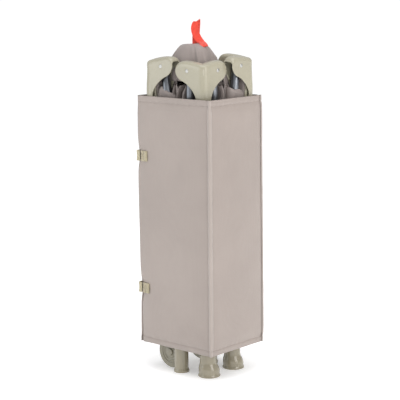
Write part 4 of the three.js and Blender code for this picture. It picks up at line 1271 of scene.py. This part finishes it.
def smooth_route(route, count):
    """A Catmull-Rom curve through the route's points."""
    padded = [route[0]] + route + [route[-1]]
    spots = []
    spans = len(route) - 1
    for i in range(count):
        f = i / (count - 1) * spans
        k = min(int(f), spans - 1)
        t = f - k
        p0, p1, p2, p3 = padded[k:k + 4]
        spots.append(tuple(0.5 * (2 * b + (c - a) * t + (2 * a - 5 * b + 4 * c - d) * t * t
                                  + (3 * b - a - 3 * c + d) * t ** 3) for a, b, c, d in zip(p0, p1, p2, p3)))
    return spots


BUNDLE_RISE = {"front": 0.0, "right": 3 * MM, "back": 17 * MM, "left": 15 * MM}


BUNDLE_INSET = 5 * MM
CLOTH_THICK = 1.2 * MM


def side_bundle(side, facing, seed):
    """The lining of one side: a sheet in rounded folds that run up, and its area."""
    low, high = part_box(f"side_cloth_{side}")
    run, out = (0, 1) if facing[1] else (1, 0)
    span, depth = (high[axis] - low[axis] - 2 * BUNDLE_INSET for axis in (run, out))
    face = low[out] + BUNDLE_INSET if facing[out] < 0 else high[out] - BUNDLE_INSET
    route = smooth_route(FOLD_ROUTE, 110)
    rows = 26
    points = []
    for r in range(rows):
        s = r / (rows - 1)
        for i, (a, b) in enumerate(route):
            lean = 0.07 * math.sin(3.1 * s + 5 * a + seed)
            open_up = 1 - 0.16 * s + 0.10 * math.sin(7 * a + 4 * s + seed)
            inward = 0.30 * max(s - 0.78, 0) ** 1.5 * 6
            aa = min(max(a + lean * (0.4 + 0.6 * s), 0), 1)
            bb = min(max(0.5 + (b - 0.5) * open_up - inward, 0), 1)
            height = low[2] + 1 * MM + (high[2] - low[2] - 4 * MM + BUNDLE_RISE[side]) * s
            height += 3.6 * MM * s * math.sin(9 * a + 2.3 * seed)
            spot = [0.0, 0.0, height]
            spot[run] = low[run] + BUNDLE_INSET + span * aa
            spot[out] = face - facing[out] * depth * (1 - bb)
            points.append(spot)
    cloth = mesh_object(f"side_lining_{side}", points, skin_faces(rows, len(route), closed=False), LINING)
    settle(thicken(cloth, CLOTH_THICK))
    dress(cloth, "frame", "lining_nylon", f"side_cloth_{side}")
    return cloth, sum(part.area for part in cloth.data.polygons) / 2


for order, (side, facing) in enumerate(SIDES.items()):
    cloth, area = side_bundle(side, facing, 0.8 + 1.3 * order)
    print(side, "lining area", round(area, 4))


# %% [markdown]
# ## Lining at the corners
# At each corner the side lining passes the post and goes round behind the half rail in the mouth of
# the wing. Two loose edges stand up outside the rails: a pointed flap at the front left and a low
# collar at the back right. Each piece is a strip in the bracket's own frame: a route in plan and a
# line for its top edge.

# %% Corner strips
BEHIND_ROUTE = [(12.5, -8), (15.5, -2), (18, 7), (21, 14.5), (27, 18.6), (43, 18.8), (54, 18.4),
                (60, 14), (64, 6), (70, 2)]
BEHIND_TOP = [(0.0, -50), (0.15, -46), (0.3, -40), (0.4, -34), (0.6, -38), (0.75, -50), (0.9, -66),
              (1.0, -74)]
FLAP_ROUTE = [(13, -6), (18, -8.2), (25, -8.4), (33, -8.2), (42, -8.4), (51, -7.6), (60, -3),
              (66, 3)]
FLAP_TOP = [(0.0, -96), (0.12, -84), (0.25, -71), (0.33, -67), (0.45, -71), (0.65, -80),
            (0.85, -88), (1.0, -94)]
COLLAR_ROUTE = [(14, -6), (20, -8.6), (30, -9.4), (40, -9.6), (50, -9), (58, -5), (62, 2), (60, 8)]
COLLAR_TOP = [(0.0, -88), (0.2, -78), (0.5, -76), (0.8, -72), (1.0, -74)]


def corner_strip(name, corner, wing, route, top_line, bottom, seed):
    place = corner_matrix(corner)
    spots = smooth_route(route, 64)
    rows = 22
    points = []
    for r in range(rows):
        s = r / (rows - 1)
        for i, (u, w) in enumerate(spots):
            f = i / (len(spots) - 1)
            top = along(top_line, f) + 1.2 * math.sin(17 * f + seed)
            z = bottom + (top - bottom) * s
            fold = 1.3 * math.sin(11 * f + 2 * s + seed) * (0.3 + 0.7 * s)
            curl = 2.4 * smooth_step(s, 0.86, 1.0)
            across = w + fold * 0.6 + curl
            spot = (u, across, z) if wing == "a" else (across, u, z)
            points.append(place @ (Vector(spot) * MM))
    strip = mesh_object(name, points, skin_faces(rows, len(spots), closed=False), LINING)
    settle(thicken(strip, 1.3 * MM))
    dress(strip, "frame", "lining_nylon")
    return strip


strips = [corner_strip(f"corner_lining_{corner}_{wing}", corner, wing, BEHIND_ROUTE, BEHIND_TOP, -140,
                       order + 0.7 * (wing == "b"))
          for order, corner in enumerate(CORNERS) for wing in "ab"]
strips.append(corner_strip("lining_flap", "front_left", "a", FLAP_ROUTE, FLAP_TOP, -130, 0.4))
strips.append(corner_strip("lining_collar", "back_right", "b", COLLAR_ROUTE, COLLAR_TOP, -130, 1.9))
print("corner strips", len(strips))


# %% [markdown]
# ## Pull strap
# A band of red webbing comes out of the top of the dome. It is pulled to fold the floor. Its loop
# stands up, leans, and is pinched to a point at the top where the band turns over. Its foot is sewn
# to the lining. The tail rides with the frame, and the loop band is hung on no body.

# %% Red loop
PULL_WIDTH = 17.5 * MM
PULL_THICK = 1.6 * MM
LOOP_ROUTE = [(26.5, -7.0, 782.0), (22.0, -4.6, 786.4), (14.0, 0.2, 789.8), (5.0, 4.0, 793.0),
              (-1.2, 2.4, 799), (-5.0, 0.2, 807), (-7.8, -2.0, 817), (-8.6, -2.6, 826),
              (-8.0, -1.8, 833), (-6.6, -0.2, 838), (-6.2, 1.6, 839.5), (-7.2, 3.2, 837),
              (-8.4, 4.4, 831), (-9.6, 4.6, 821), (-10.6, 4.4, 808), (-10.4, 3.6, 797),
              (-9.6, 3.0, 789), (-9.6, 3.0, 785)]


tail_low, tail_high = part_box("pull_strap_tail")
tail_x, tail_y = ((tail_low[k] + tail_high[k]) / 2 for k in (0, 1))


def build_loop():
    route = [tuple(c * MM for c in p) for p in smooth_route(LOOP_ROUTE, 72)]
    ways, lifts = [], []
    for i in range(len(route)):
        f = i / (len(route) - 1)
        ways.append((BAND_FACE + BAND_LEAN * 0.22 * math.sin(5 * f)).normalized())
        lifts.append(0.5 * math.exp(-((f - 0.57) / 0.2) ** 2))
    loop = ribbon("pull_loop_band", route, BAND_FACE, PULL_WIDTH, PULL_THICK, RED_WEBBING,
                  twist=ways, lift=lifts)
    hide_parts("pull_strap_loop")
    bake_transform(loop)
    return loop


pull_band = build_loop()
tail_length = tail_high[2] - 6 * MM - tail_low[2]
tail_path = [(tail_x + 0.7 * MM * math.sin(k * 0.7), tail_y, tail_low[2] + tail_length * k / 20)
             for k in range(21)]
tail = ribbon("pull_tail_band", tail_path, (0, 1, 0), PULL_WIDTH, PULL_THICK, RED_WEBBING)
dress(tail, "frame", "red_webbing", "pull_strap_tail")
print("pull strap", len(pull_band.data.polygons), "faces")


# %% [markdown]
# ## Parts kept from the model
# Locks, buttons, hub, axles and the wheel feet have the right shape already. They get their finish
# and a small bevel, because no moulded edge is perfectly sharp.

# %% Kept parts
def finish_part(node, material, edge):
    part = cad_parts[node]
    for slot in part.material_slots:
        slot.material = material
    bevel = part.modifiers.new("soft_edges", "BEVEL")
    bevel.width = edge
    bevel.segments = 2
    bevel.limit_method = "ANGLE"
    bevel.angle_limit = math.radians(35)
    return part


kept = [finish_part("base_hub", LOCK_PLASTIC, 0.8 * MM)]
for side in SIDES:
    kept.append(finish_part(f"centre_lock_{side}", LOCK_PLASTIC, 0.8 * MM))
    kept.append(finish_part(f"lock_button_{side}", BUTTON_PLASTIC, 0.5 * MM))
for corner in ("front_left", "back_left"):
    kept.append(finish_part(f"foot_{corner}", FOOT_PLASTIC, 0.9 * MM))
    kept.append(finish_part(f"wheel_axle_{corner}", WHEEL_PLASTIC, 0.4 * MM))
print("kept parts", len(kept))
